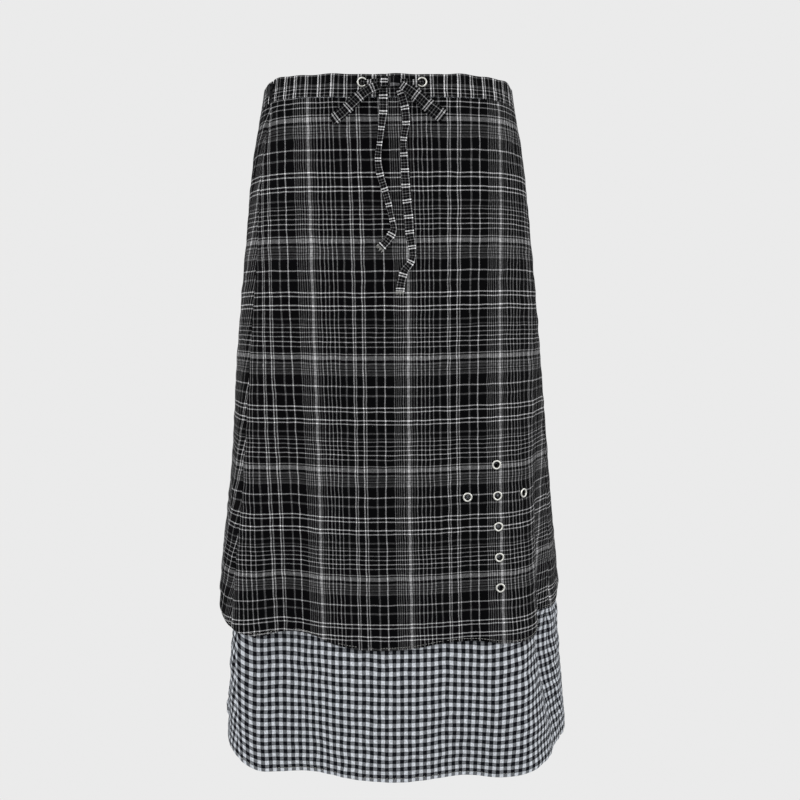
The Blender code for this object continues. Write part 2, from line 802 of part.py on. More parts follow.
def zip_wall(name, width, top, bottom, outer, inner, rows, finish):
    """A strip along the left seam, between two depths behind the outer face."""
    half = seam_gap_share(width) / 2
    drops = np.linspace(top, bottom, rows + 1)[:, None]
    places = left_seam(drops) + np.linspace(-half, half, ZIP_COLUMNS + 1)
    drops = np.broadcast_to(drops, places.shape)
    front, back = (overskirt_face(places, drops, depth(places, drops)) for depth in (outer, inner))
    points, faces = closed_wall(front, back)
    add_object(name, points, faces, finish)


def side_zip(tape_finish, metal):
    """The zip in the left seam: tape behind both skirts, teeth in the waistband's slit, slider and pull."""

    def tape_face(place, drop):
        layers = np.where(drop < 0, 0.0, layer_space(place, np.maximum(drop, 0)) + CLOTH)
        return np.maximum(layers, BAND_CLOTH) + ZIP_TAPE_CLEARANCE

    def tape_back(place, drop):
        return tape_face(place, drop) + ZIP_TAPE_THICKNESS

    zip_wall("zip_tape", ZIP_TAPE_WIDTH, ZIP_TOP, ZIP_END_DROP, tape_face, tape_back, 9, tape_finish)
    zip_wall(
        "zip_teeth",
        ZIP_TEETH_WIDTH,
        ZIP_TEETH_TOP,
        ZIP_TEETH_END,
        lambda place, drop: np.full_like(drop, ZIP_TEETH_DEPTH),
        lambda place, drop: np.full_like(drop, BAND_CLOTH + ZIP_TAPE_CLEARANCE - SEAM_GAP),
        2,
        tape_finish,
    )
    slider_drop = ZIP_TEETH_TOP + SLIDER_SIZE[1] / 2
    frame = frame_on(left_seam(slider_drop), slider_drop)
    add_block("zip_slider", frame, SLIDER_SIZE, (0, 0, SLIDER_SIZE[2] / 2 - SLIDER_SINK), metal)
    pull(frame, metal)


def add_block(name, frame, size, centre, finish):
    """A box with bevelled edges, placed in a frame."""
    work = bmesh.new()
    bmesh.ops.create_cube(work, size=1.0)
    for vertex in work.verts:
        vertex.co = Vector([c * s + m for c, s, m in zip(vertex.co, size, centre)])
    bmesh.ops.bevel(work, geom=work.edges, offset=BLOCK_BEVEL, segments=1, affect="EDGES")
    work.verts.index_update()
    points = np.array([v.co for v in work.verts])
    faces = [[v.index for v in f.verts] for f in work.faces]
    work.free()
    made = add_object(name, points, faces, finish)
    made.matrix_world = frame


def pull(frame, metal):
    """The pull tab: a flat drop shape that hangs from the slider, its origin on the hinge line."""
    hinge = frame @ Matrix.Translation(Vector((0, PULL_RISE, PULL_STAND)) * MM)
    outline = []
    for turn in np.linspace(-0.5 * math.pi, 0.5 * math.pi, 7):
        outline.append((PULL_NECK / 2 * math.sin(turn), PULL_NECK / 2 * math.cos(turn)))
    low = PULL_LENGTH - PULL_WIDTH / 2 - PULL_NECK / 2
    for turn in np.linspace(0.5 * math.pi, 1.5 * math.pi, 9):
        outline.append((PULL_WIDTH / 2 * math.sin(turn), -low + PULL_WIDTH / 2 * math.cos(turn)))
    count = len(outline)
    half = PULL_THICKNESS / 2
    points = [(x, y, -half) for x, y in outline] + [(x, y, half) for x, y in outline]
    faces = [list(range(count)), list(range(2 * count - 1, count - 1, -1))]
    for i in range(count):
        j = (i + 1) % count
        faces.append((i, j, count + j, count + i))
    made = add_object("zip_pull", np.array(points), faces, metal)
    made.matrix_world = hinge


def build():
    clear_scene()
    plaid = material("plaid cotton", (0.03, 0.03, 0.035), 0.9)
    gingham = material("gingham cotton", (0.45, 0.47, 0.5), 0.9)
    silver = material("silver-plated brass", (0.8, 0.8, 0.78), 0.3, 1.0)
    black = material("black zip", (0.01, 0.01, 0.01), 0.5)
    panels = body_panels({"plaid": plaid, "gingham": gingham})
    frames = band_eyelets(panels["waistband_front"], silver)
    cross_eyelets(panels["overskirt_front"], silver)
    tie(frames, plaid)
    side_zip(black, black)


build()
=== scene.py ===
import math

import bpy
import numpy as np
from mathutils import Matrix, Vector


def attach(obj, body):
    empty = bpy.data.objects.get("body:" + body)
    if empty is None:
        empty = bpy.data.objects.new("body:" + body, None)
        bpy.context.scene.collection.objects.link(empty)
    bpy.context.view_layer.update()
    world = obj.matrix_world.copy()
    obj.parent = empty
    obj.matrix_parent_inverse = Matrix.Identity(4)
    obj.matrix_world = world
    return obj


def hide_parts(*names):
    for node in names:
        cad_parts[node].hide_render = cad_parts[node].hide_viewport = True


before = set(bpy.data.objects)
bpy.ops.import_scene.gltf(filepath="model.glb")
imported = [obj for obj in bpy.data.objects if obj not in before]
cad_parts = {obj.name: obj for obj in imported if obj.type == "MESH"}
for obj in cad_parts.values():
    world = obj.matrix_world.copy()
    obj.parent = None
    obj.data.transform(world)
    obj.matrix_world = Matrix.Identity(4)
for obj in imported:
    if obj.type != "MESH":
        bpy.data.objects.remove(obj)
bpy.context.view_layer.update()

# Sizes are in millimetres, as a pattern cutter writes them, and meshes are made in metres.
# A place is the share of the way from centre front (0) to centre back (1, or -1 round the left).
# A drop is a distance down the cloth from the waistband's seam.
mm = 0.001
seamGap = 0.3

# Camera and light

camera = {"side": 13.5, "distance": 1900, "pitch": 11.65, "lens": 69.84}
lights = {
    "key": {"at": (-1.5, -2.6, 1.5), "aim": (0, 0, -0.4), "size": 2.2, "watts": 42},
    "fill": {"at": (2.0, -2.4, 0.6), "aim": (0, 0, -0.4), "size": 2.4, "watts": 26},
    "back": {"at": (0.6, 2.4, 1.8), "aim": (0, 0, -0.3), "size": 2.4, "watts": 40},
    "left": {"at": (-2.6, -0.6, 0.2), "aim": (0, 0, -0.4), "size": 1.6, "watts": 20},
    "right": {"at": (2.6, -0.6, 0.2), "aim": (0, 0, -0.4), "size": 1.6, "watts": 18},
}
stage = {"drop": 1.06, "radius": 14.0, "shade": 0.83, "world": 0.83}


def placeCamera():
    # looks along +Y, turned down by the pitch
    made = bpy.data.objects.new("camera", bpy.data.cameras.new("camera"))
    made.data.lens = camera["lens"]
    made.location = (camera["side"] * mm, -camera["distance"] * mm, 0)
    made.rotation_euler = (math.radians(90 - camera["pitch"]), 0, 0)
    bpy.context.scene.collection.objects.link(made)
    bpy.context.scene.camera = made


def placeLights():
    for name, lamp in lights.items():
        data = bpy.data.lights.new(name, "AREA")
        data.size = lamp["size"]
        data.energy = lamp["watts"]
        made = bpy.data.objects.new(name, data)
        made.location = lamp["at"]
        aim = Vector(lamp["aim"]) - Vector(lamp["at"])
        made.rotation_euler = aim.to_track_quat("-Z", "Y").to_euler()
        bpy.context.scene.collection.objects.link(made)


def placeStage():
    world = bpy.data.worlds.new("studio")
    world.use_nodes = True
    sky = world.node_tree.nodes["Background"]
    sky.inputs["Color"].default_value = (stage["world"],) * 3 + (1,)
    bpy.context.scene.world = world
    bpy.context.scene.view_settings.view_transform = "Standard"
    turn = np.linspace(0, 2 * math.pi, 49)[:-1]
    ring = np.stack([np.cos(turn), np.sin(turn)], 1) * stage["radius"]
    points = [(x, y, -stage["drop"]) for x, y in ring]
    mesh = bpy.data.meshes.new("floor")
    mesh.from_pydata(points, [], [list(range(len(points)))])
    floor = bpy.data.objects.new("floor", mesh)
    bpy.context.scene.collection.objects.link(floor)
    pale = bpy.data.materials.new("pale floor")
    pale.use_nodes = True
    shader = pale.node_tree.nodes["Principled BSDF"]
    shade = (stage["shade"],) * 3 + (1,)
    shader.inputs["Base Color"].default_value = (0, 0, 0, 1)
    shader.inputs["Roughness"].default_value = 1
    shader.inputs["Specular IOR Level"].default_value = 0
    shader.inputs["Emission Color"].default_value = shade
    shader.inputs["Emission Strength"].default_value = 1
    mesh.materials.append(pale)


placeCamera()
placeLights()
placeStage()
print("stage, lights and camera")

# The cut of the skirt, and its form when worn

bandHeight = 26
overskirtLength = 658
underskirtLength = 818
solidCloth = 1.4
bandCloth = 3.1
leftSeam = {"place": -0.345, "drift": 0.045}
rightSeam = 0.45
waist = {"seamHeight": -19, "dip": 20, "dipPlace": 0.5, "dipSpreads": (0.158, 0.165)}
clothSlope = 0.995
frontRoundness = 3.1
backRoundness = 2.4
sideLinePower = 6
placeStep = 0.004
dropStep = 2.0

sectionColumns = ("height", "left", "leftLine", "right", "rightLine", "front", "back")
overskirtSections = (
    (10, 144, 0, 144, 0, 115, 104),
    (-20, 149, 0, 148, 0, 115, 106),
    (-85, 161, 2, 160, 5, 119, 122),
    (-200, 174, 3, 174, 12, 121, 140),
    (-330, 187, 3, 188, 22, 122, 152),
    (-460, 198, 0, 201, 35, 123, 162),
    (-590, 215, -4, 213, 48, 124, 174),
    (-690, 226, -10, 221, 60, 125, 184),
)
underskirtSections = (
    (10, 219, 14, 231, 8, 145, 196),
    (-850, 219, 14, 231, 8, 145, 196),
)
underskirtFreeDrop = 640

foldPower = 1.4
foldMost = 1.3
overskirtFolds = (  # place, half width, depth, start drop
    (-0.86, 0.07, -12, 160),
    (-0.72, 0.07, 14, 160),
    (-0.58, 0.06, -10, 200),
    (-0.42, 0.05, -11, 300),
    (-0.29, 0.05, 19, 200),
    (-0.20, 0.06, -16, 200),
    (0.00, 0.09, 5, 100),
    (0.26, 0.075, 23, 200),
    (0.39, 0.06, -30, 240),
    (0.62, 0.07, 12, 160),
    (0.78, 0.07, -12, 160),
    (1.00, 0.09, 12, 160),
)
underskirtFolds = (
    (-0.88, 0.07, -16, 300),
    (-0.74, 0.07, 16, 300),
    (-0.60, 0.06, -12, 300),
    (-0.42, 0.06, -13, 300),
    (-0.28, 0.05, 13, 300),
    (-0.17, 0.07, -18, 300),
    (0.00, 0.08, 9, 300),
    (0.15, 0.05, -12, 300),
    (0.25, 0.05, 13, 300),
    (0.39, 0.07, -16, 300),
    (0.62, 0.07, 14, 300),
    (0.78, 0.07, -14, 300),
    (1.00, 0.09, 14, 300),
)
overskirtHem = (  # place, how much shorter it is cut there
    (-1.00, 5), (-0.80, 12), (-0.62, 32), (-0.50, 54), (-0.44, 55), (-0.40, 53),
    (-0.365, 48), (-0.34, 41), (-0.32, 35), (-0.30, 28), (-0.28, 21), (-0.25, 14),
    (-0.22, 16), (-0.18, 17), (-0.14, 14), (-0.10, 5), (-0.06, 1), (0.00, 0), (0.05, 2),
    (0.10, 7), (0.16, 10), (0.24, 7), (0.27, 9), (0.30, 15), (0.32, 21), (0.36, 25),
    (0.39, 25), (0.46, 28), (0.55, 34), (0.70, 24), (0.85, 10), (1.00, 5),
)
underskirtHem = (
    (-1.00, 0), (-0.70, 12), (-0.46, 44), (-0.39, 41), (-0.36, 36), (-0.34, 31),
    (-0.30, 22), (-0.28, 15), (-0.25, 4), (-0.22, 1), (-0.12, 2), (0.00, 0), (0.10, 1),
    (0.20, -1), (0.24, 4), (0.30, 11), (0.36, 13), (0.42, 17), (0.46, 19), (0.52, 16),
    (0.70, 6), (1.00, 0),
)
layers = {
    "atSeam": 1.75,
    "below": 4.4,
    "belowDrop": 120,
    "side": 18,
    "sidePlace": -0.45,
    "sideSpread": 0.17,
    "sideDrops": (300, 650),
}


def throughRows(x, at, value):
    # a cubic between each two rows, with the slope at a row taken from its neighbours
    slope = np.gradient(value, at)
    row = np.clip(np.searchsorted(at, x, side="right") - 1, 0, len(at) - 2)
    step = at[row + 1] - at[row]
    t = np.clip((x - at[row]) / step, 0, 1)
    ease = t * t * (3 - 2 * t)
    level = value[row] * (1 - ease) + value[row + 1] * ease
    return level + step * t * (1 - t) * (slope[row] * (1 - t) - slope[row + 1] * t)


def ramp(x, start, end):
    # 3t^2 - 2t^3 between start and end
    t = np.clip((x - start) / (end - start), 0, 1)
    return t * t * (3 - 2 * t)


def bump(distance, halfWidth):
    # exp(-(d / w)^2)
    return np.exp(-((distance / halfWidth) ** 2))


def between(place, centre):
    # the short way round from centre to place
    return (place - centre + 1) % 2 - 1


def atBearing(rows, bearing, height):
    # x = r sin b, y = -r cos b + line |sin b|^6, r = (|sin b / w|^p + |cos b / d|^p)^(-1/p)
    def size(name):
        return throughRows(height, rows["height"], rows[name])

    sine, cosine = np.sin(bearing), np.cos(bearing)
    wide = np.where(sine < 0, size("left"), size("right"))
    deep = np.where(cosine > 0, size("front"), size("back"))
    line = np.where(sine < 0, size("leftLine"), size("rightLine"))
    power = np.where(cosine > 0, frontRoundness, backRoundness)
    reach = (np.abs(sine / wide) ** power + np.abs(cosine / deep) ** power) ** (-1 / power)
    return reach * sine, -reach * cosine + line * np.abs(sine) ** sideLinePower


def girthOf(table, levelCount=44, turnCount=181):
    # for each level, the bearing at evenly spaced shares of the arc from front to back
    rows = dict(zip(sectionColumns, np.array(table[::-1], float).T))
    levels = np.linspace(rows["height"][0], rows["height"][-1], levelCount)
    turn = np.linspace(0, math.pi, turnCount)
    share = np.linspace(0, 1, turnCount)
    bearings = np.zeros((levelCount, 2 * turnCount - 1))
    lengths = np.zeros((levelCount, 2))
    for index, level in enumerate(levels):
        halves = []
        for side, sign in enumerate((-1, 1)):
            x, y = atBearing(rows, sign * turn, np.full_like(turn, level))
            along = np.concatenate([[0], np.cumsum(np.hypot(np.diff(x), np.diff(y)))])
            lengths[index, side] = along[-1]
            halves.append(sign * np.interp(share, along / along[-1], turn))
        bearings[index] = np.concatenate([halves[0][:0:-1], halves[1]])
    return {"rows": rows, "levels": levels, "bearings": bearings, "lengths": lengths}


def bearingAt(girth, place, height):
    # read from the girth's table, evenly between its entries
    levels, table = girth["levels"], girth["bearings"]
    place = (np.asarray(place, float) + 1) % 2 - 1
    row = np.clip((height - levels[0]) / (levels[1] - levels[0]), 0, len(levels) - 1.001)
    column = np.clip((place + 1) / 2 * (table.shape[1] - 1), 0, table.shape[1] - 1.001)
    i, j = row.astype(int), column.astype(int)
    s, t = row - i, column - j
    near = table[i, j] * (1 - t) + table[i, j + 1] * t
    far = table[i + 1, j] * (1 - t) + table[i + 1, j + 1] * t
    return near * (1 - s) + far * s


def halfGirth(girth, place, height):
    # the arc from centre front to centre back on the place's own side
    left, right = (np.interp(height, girth["levels"], girth["lengths"][:, k]) for k in (0, 1))
    return np.where(place < 0, left, right)


def foldedLine(girth, place, height, drop, folds, length):
    # the girth's point plus its level normal times the sum of depth g^1.4 exp(-(d / w)^2)
    ends = [
        np.stack(atBearing(girth["rows"], bearingAt(girth, place + k * placeStep, height), height))
        for k in (-1, 0, 1)
    ]
    along = ends[2] - ends[0]
    along = along / np.hypot(*along)
    push = np.zeros_like(ends[1][0])
    for centre, halfWidth, depth, start in folds:
        grown = np.clip((drop - start) / (length - start), 0, foldMost) ** foldPower
        push = push + depth * grown * bump(between(place, centre), halfWidth)
    return np.stack([ends[1][0] + along[1] * push, ends[1][1] - along[0] * push])


overGirth = girthOf(overskirtSections)
underGirth = girthOf(underskirtSections)


def seamHeight(place):
    place = between(place, 0)
    spread = np.where(place < 0, *waist["dipSpreads"])
    return waist["seamHeight"] - waist["dip"] * bump(np.abs(place) - waist["dipPlace"], spread)


def heightAt(place, drop):
    return seamHeight(place) - clothSlope * drop


def hemDrop(place, length, table):
    at, rise = np.array(table, float).T
    return length - throughRows(between(place, 0), at, rise)


def leftSeamAt(drop):
    return leftSeam["place"] + leftSeam["drift"] * drop / overskirtLength


def planNormal(pointsAt, place):
    # level unit vectors out of the cloth, from the line between two near points
    along = (pointsAt(place + placeStep) - pointsAt(place - placeStep))[:2]
    along = along / np.hypot(*along)
    return np.stack([along[1], -along[0], np.zeros_like(along[0])])


def overskirtFace(place, drop, inward=0.0):
    # the overskirt's outer face, moved in by inward; above drop 0 it is the waistband's
    place, drop = np.broadcast_arrays(np.asarray(place, float), np.asarray(drop, float))

    def pointsAt(where):
        height = heightAt(where, drop)
        line = foldedLine(overGirth, where, height, np.maximum(drop, 0), overskirtFolds, overskirtLength)
        return np.stack([line[0], line[1], height])

    return pointsAt(place) - inward * planNormal(pointsAt, place)


def layerSpace(place, drop):
    hang = ramp(drop, 0, layers["belowDrop"])
    side = ramp(drop, *layers["sideDrops"]) * bump(between(place, layers["sidePlace"]), layers["sideSpread"])
    return layers["atSeam"] + (layers["below"] - layers["atSeam"]) * hang + layers["side"] * side


def underskirtFace(place, drop, inward=0.0):
    # follows the overskirt down, then eases to its own girth at its hem
    place, drop = np.broadcast_arrays(np.asarray(place, float), np.asarray(drop, float))

    def pointsAt(where):
        covered = overskirtFace(where, drop, layerSpace(where, drop))
        height = heightAt(where, drop)
        line = foldedLine(underGirth, where, height, drop, underskirtFolds, underskirtLength)
        free = np.stack([line[0], line[1], height])
        share = ramp(drop, underskirtFreeDrop, underskirtLength)
        return covered * (1 - share) + free * share

    return pointsAt(place) - inward * planNormal(pointsAt, place)


# Creases and crinkles of the cloth

overskirtCreases = (  # from place, from drop, to place, to drop, half width, depth
    (-0.335, 2, -0.325, 46, 4.5, -1.3),
    (-0.305, 1, -0.300, 30, 4.0, 0.9),
    (-0.262, 2, -0.270, 64, 5.5, -1.2),
    (-0.205, 1, -0.202, 38, 4.2, 0.8),
    (-0.148, 2, -0.160, 58, 6.0, -1.0),
    (0.118, 1, 0.122, 42, 4.6, -1.1),
    (0.176, 2, 0.170, 66, 5.2, 0.9),
    (0.232, 1, 0.246, 50, 5.0, -1.3),
    (0.298, 2, 0.300, 34, 4.0, 0.8),
    (0.352, 2, 0.366, 72, 5.6, -1.4),
    (-0.372, 60, -0.330, 250, 11, -1.8),
    (-0.245, 130, -0.238, 420, 14, 1.5),
    (-0.105, 160, -0.112, 520, 16, -1.5),
    (0.072, 210, 0.090, 600, 15, 1.6),
    (0.165, 260, 0.158, 640, 12, -1.9),
    (0.330, 150, 0.352, 430, 13, 1.5),
    (-0.330, 330, -0.362, 640, 11, 2.0),
    (-0.150, 430, -0.128, 650, 10, 1.8),
    (0.215, 430, 0.204, 650, 9, -1.7),
    (0.010, 480, 0.022, 655, 12, -1.4),
    (0.560, 2, 0.556, 44, 4.8, -1.2),
    (0.655, 1, 0.662, 60, 5.4, 1.0),
    (0.742, 2, 0.736, 38, 4.4, -1.1),
    (0.838, 1, 0.842, 55, 5.8, -1.3),
    (0.935, 2, 0.930, 48, 5.0, 0.9),
    (-0.925, 2, -0.930, 57, 5.6, -1.2),
    (-0.815, 1, -0.812, 40, 4.6, 0.9),
    (-0.690, 2, -0.700, 66, 5.8, -1.3),
    (-0.585, 1, -0.580, 36, 4.2, 0.8),
    (0.600, 200, 0.582, 540, 14, -1.8),
    (0.720, 260, 0.735, 620, 12, 1.7),
    (0.885, 180, 0.872, 500, 15, -1.6),
    (-0.950, 240, -0.965, 600, 13, 1.7),
    (-0.800, 200, -0.785, 560, 14, -1.8),
    (-0.640, 300, -0.655, 620, 11, 1.8),
)
underskirtCreases = (
    (-0.345, 600, -0.352, 770, 9, -1.8),
    (-0.268, 620, -0.255, 800, 12, 1.6),
    (-0.205, 590, -0.218, 790, 8, -1.5),
    (-0.110, 610, -0.098, 812, 13, 1.7),
    (-0.035, 600, -0.046, 806, 9, -1.6),
    (0.058, 640, 0.066, 814, 10, 1.5),
    (0.112, 600, 0.104, 800, 8, -1.5),
    (0.192, 620, 0.205, 815, 10, 1.4),
    (0.290, 600, 0.284, 808, 12, -1.8),
    (0.345, 630, 0.362, 800, 9, 1.6),
    (0.560, 600, 0.548, 806, 11, -1.7),
    (0.700, 590, 0.712, 812, 12, 1.6),
    (0.880, 610, 0.866, 808, 10, -1.7),
    (-0.920, 600, -0.935, 812, 12, 1.7),
    (-0.805, 620, -0.790, 800, 10, -1.6),
    (-0.662, 590, -0.672, 790, 11, 1.7),
    (-0.520, 610, -0.508, 770, 9, -1.6),
)
creaseSpan = 520  # millimetres of arc in a place of 1, for a crease's slant
crinkle = {"waves": 16, "shortest": 13, "longest": 46, "seed": 11}


def creaseAt(place, drop, table):
    # depth exp(-(d / w)^2) over each line, eased in and out near its ends
    total = np.zeros_like(place)
    for fromPlace, fromDrop, toPlace, toDrop, halfWidth, depth in table:
        x = between(place, fromPlace) * creaseSpan
        y = drop - fromDrop
        runX, runY = (toPlace - fromPlace) * creaseSpan, toDrop - fromDrop
        length = math.hypot(runX, runY)
        along = (x * runX + y * runY) / length / length
        across = (x * runY - y * runX) / length
        eased = ramp(along, -0.1, 0.3) * (1 - ramp(along, 0.6, 1.1))
        total = total + depth * bump(across, halfWidth) * eased
    return total


def crinkleAt(u, v, height):
    # a sum of sine waves of mixed lengths and directions
    rng = np.random.default_rng(crinkle["seed"])
    total = np.zeros_like(u)
    for _ in range(crinkle["waves"]):
        wave = rng.uniform(crinkle["shortest"], crinkle["longest"])
        heading, phase = rng.uniform(0, math.pi), rng.uniform(0, 2 * math.pi)
        turn = (u * math.cos(heading) + v * math.sin(heading)) * 2 * math.pi / wave
        total = total + height * np.sin(turn + phase)
    return total


# Meshes


def circle(count):
    # angles evenly round, from 0
    return np.arange(count) * 2 * math.pi / count


def joined(parts):
    # one list of points and faces from several
    points, faces, count = [], [], 0
    for some, theirs in parts:
        points.append(some)
        theirs = theirs.tolist() if isinstance(theirs, np.ndarray) else theirs
        faces += [[k + count for k in face] for face in theirs]
        count += len(some)
    return np.concatenate(points), faces


def meshObject(name, points, faces, materials, uv=None, sharp=50):
    mesh = bpy.data.meshes.new(name)
    faces = faces.tolist() if isinstance(faces, np.ndarray) else faces
    mesh.from_pydata((np.asarray(points, float) * mm).tolist(), [], faces)
    if uv is not None:
        layer = mesh.uv_layers.new(name="cloth")
        corner = np.zeros(len(mesh.loops), np.int32)
        mesh.loops.foreach_get("vertex_index", corner)
        layer.data.foreach_set("uv", np.asarray(uv, np.float32)[corner].ravel())
    for finish in materials:
        mesh.materials.append(finish)
    mesh.shade_smooth()
    mesh.set_sharp_from_angle(angle=math.radians(sharp))
    made = bpy.data.objects.new(name, mesh)
    bpy.context.scene.collection.objects.link(made)
    return made


def wallFaces(rows, columns):
    # quads of an outer grid, of an inner grid that follows it in the list, and of the rim between
    index = np.arange(rows * columns).reshape(rows, columns)
    back = rows * columns
    a, b, c, d = index[:-1, :-1], index[:-1, 1:], index[1:, 1:], index[1:, :-1]
    outer = np.stack([a, d, c, b], -1).reshape(-1, 4)
    inner = np.stack([a, b, c, d], -1).reshape(-1, 4) + back
    rim = np.concatenate([index[0], index[1:, -1], index[-1, -2::-1], index[-2:0:-1, 0]])
    ahead = np.roll(rim, -1)
    edge = np.stack([rim, ahead, ahead + back, rim + back], -1)
    return np.concatenate([outer, inner, edge])


def tubeFaces(rings, sides, closeEnds=True):
    # quads between rings of points, each ring closed on itself
    index = np.arange(rings * sides).reshape(rings, sides)
    ahead = np.roll(index, -1, axis=1)
    faces = np.stack([index[:-1], index[1:], ahead[1:], ahead[:-1]], -1).reshape(-1, 4).tolist()
    if closeEnds:
        faces.append(index[0].tolist())
        faces.append(index[-1][::-1].tolist())
    return faces


def finishedCopy(made):
    # the object's mesh with its modifiers applied
    graph = bpy.context.evaluated_depsgraph_get()
    mesh = bpy.data.meshes.new_from_object(made.evaluated_get(graph), depsgraph=graph)
    made.modifiers.clear()
    made.data = mesh
    return made


def addPiece(made, slotName, *replaced, body="skirt"):
    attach(made, body)
    if replaced:
        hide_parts(*replaced)
    return made


# Finishes


def setSocket(tree, socket, value):
    # another node's output is linked, and a number or colour is set on the socket itself
    if isinstance(value, bpy.types.NodeSocket):
        tree.links.new(value, socket)
    else:
        socket.default_value = value


def newNode(tree, kind, **values):
    made = tree.nodes.new("ShaderNode" + kind)
    for name, value in values.items():
        setSocket(tree, made.inputs[name], value)
    return made


def mathNode(tree, operation, *values):
    made = tree.nodes.new("ShaderNodeMath")
    made.operation = operation
    for socket, value in zip(made.inputs, values):
        setSocket(tree, socket, value)
    return made.outputs[0]


def addBump(tree, shader, height, strength, distance):
    raised = newNode(tree, "Bump", Strength=strength, Distance=distance, Height=height)
    setSocket(tree, shader.inputs["Normal"], raised.outputs[0])


def newFinish(name, roughness, sheen=0.0, metallic=0.0):
    made = bpy.data.materials.new(name)
    made.use_nodes = True
    shader = made.node_tree.nodes["Principled BSDF"]
    shader.inputs["Roughness"].default_value = roughness
    shader.inputs["Metallic"].default_value = metallic
    shader.inputs["Sheen Weight"].default_value = sheen
    shader.inputs["Sheen Roughness"].default_value = 0.5
    shader.inputs["Specular IOR Level"].default_value = 0.5 if metallic else 0.05
    return made, made.node_tree, shader


weaveLook = {
    "wander": 0.045, "patch": 0.02,  # noise scales per millimetre of cloth
    "gamma": 2.2, "bumpShare": 0.4,
}


def clothCoordinates(tree, wobble):
    # the cloth's own UV in millimetres, wandering by a soft noise
    uv = tree.nodes.new("ShaderNodeUVMap")
    uv.uv_map = "cloth"
    noise = newNode(tree, "TexNoise", Scale=weaveLook["wander"], Detail=2, Vector=uv.outputs[0])
    parts = newNode(tree, "SeparateXYZ", Vector=uv.outputs[0])
    drift = newNode(tree, "SeparateXYZ", Vector=noise.outputs["Color"])
    out = []
    for axis in (0, 1):
        centred = mathNode(tree, "SUBTRACT", drift.outputs[axis], 0.5)
        out.append(mathNode(tree, "MULTIPLY_ADD", centred, wobble, parts.outputs[axis]))
    return out


def stripeTone(tree, coordinate, sett):
    # ground tone, plus each stripe's extra tone where |x - at| <= width / 2
    shifted = mathNode(tree, "SUBTRACT", coordinate, sett["start"])
    x = mathNode(tree, "FLOORED_MODULO", shifted, sett["repeat"])
    tone = sett["ground"]
    for at, width, level in sett["stripes"]:
        inside = mathNode(tree, "COMPARE", x, at, width / 2)
        tone = mathNode(tree, "MULTIPLY_ADD", inside, level - sett["ground"], tone)
    return tone


def weaveTone(tree, u, v, yarn):
    # sin(pi u / yarn) sin(pi v / yarn): +1 where a lengthwise yarn is on top, -1 where a cross yarn is
    waves = [mathNode(tree, "SINE", mathNode(tree, "MULTIPLY", x, math.pi / yarn)) for x in (u, v)]
    return mathNode(tree, "MULTIPLY", *waves)


def noiseFactor(tree, vector, scale, detail, amount):
    # 1 - amount / 2 + amount noise
    noise = newNode(tree, "TexNoise", Scale=scale, Detail=detail, Vector=vector)
    return mathNode(tree, "MULTIPLY_ADD", noise.outputs["Fac"], amount, 1 - amount / 2)


def wovenCloth(name, warp, weft, look):
    # the setts' tones, uneven in patches and along the yarns, as a share from dark to light
    made, tree, shader = newFinish(name, look["roughness"], look["sheen"])
    u, v = clothCoordinates(tree, look["wobble"])
    weave = weaveTone(tree, u, v, look["yarn"])
    tone = tree.nodes.new("ShaderNodeMix")
    setSocket(tree, tone.inputs[0], mathNode(tree, "MULTIPLY_ADD", weave, look["contrast"], 0.5))
    setSocket(tree, tone.inputs[2], stripeTone(tree, v, weft))
    setSocket(tree, tone.inputs[3], stripeTone(tree, u, warp))
    where = newNode(tree, "CombineXYZ", X=u, Y=v).outputs[0]
    patchy = noiseFactor(tree, where, weaveLook["patch"], 3, look["uneven"])
    beaded = noiseFactor(tree, where, look["beads"], 1, look["beading"])
    uneven = mathNode(tree, "MULTIPLY", patchy, beaded)
    shade = mathNode(tree, "MULTIPLY", tone.outputs[0], uneven)
    level = mathNode(tree, "POWER", shade, weaveLook["gamma"])
    colour = tree.nodes.new("ShaderNodeMix")
    colour.data_type = "RGBA"
    setSocket(tree, colour.inputs[0], level)
    setSocket(tree, colour.inputs[6], look["dark"] + (1,))
    setSocket(tree, colour.inputs[7], look["light"] + (1,))
    setSocket(tree, shader.inputs["Base Color"], colour.outputs[2])
    addBump(tree, shader, weave, look["bump"], look["yarn"] * mm * weaveLook["bumpShare"])
    return made


# Setts: repeat and start in millimetres, stripes as (place, width, tone), tone 0 black to 1 white
plaidWarp = {
    "repeat": 110.5,
    "start": 16.6,
    "ground": 0.03,
    "stripes": (
        (0.0, 3.3, 0.74), (110.5, 3.3, 0.74), (3.4, 1.5, 0.45), (6.6, 1.4, 0.33), (9.9, 1.1, 0.64),
        (14.9, 1.1, 0.62), (19.3, 1.1, 0.60), (24.6, 1.1, 0.67), (29.4, 1.1, 0.60), (37.2, 2.0, 0.43),
        (46.2, 1.3, 0.79), (49.0, 1.3, 0.66), (57.3, 1.3, 0.81), (60.5, 1.3, 0.68), (72.6, 2.0, 0.45),
        (82.7, 1.4, 0.77), (94.0, 0.9, 0.55), (96.6, 0.8, 0.46), (99.0, 0.9, 0.49), (101.6, 0.8, 0.51),
        (104.6, 1.0, 0.60), (107.3, 0.8, 0.43),
    ),
}
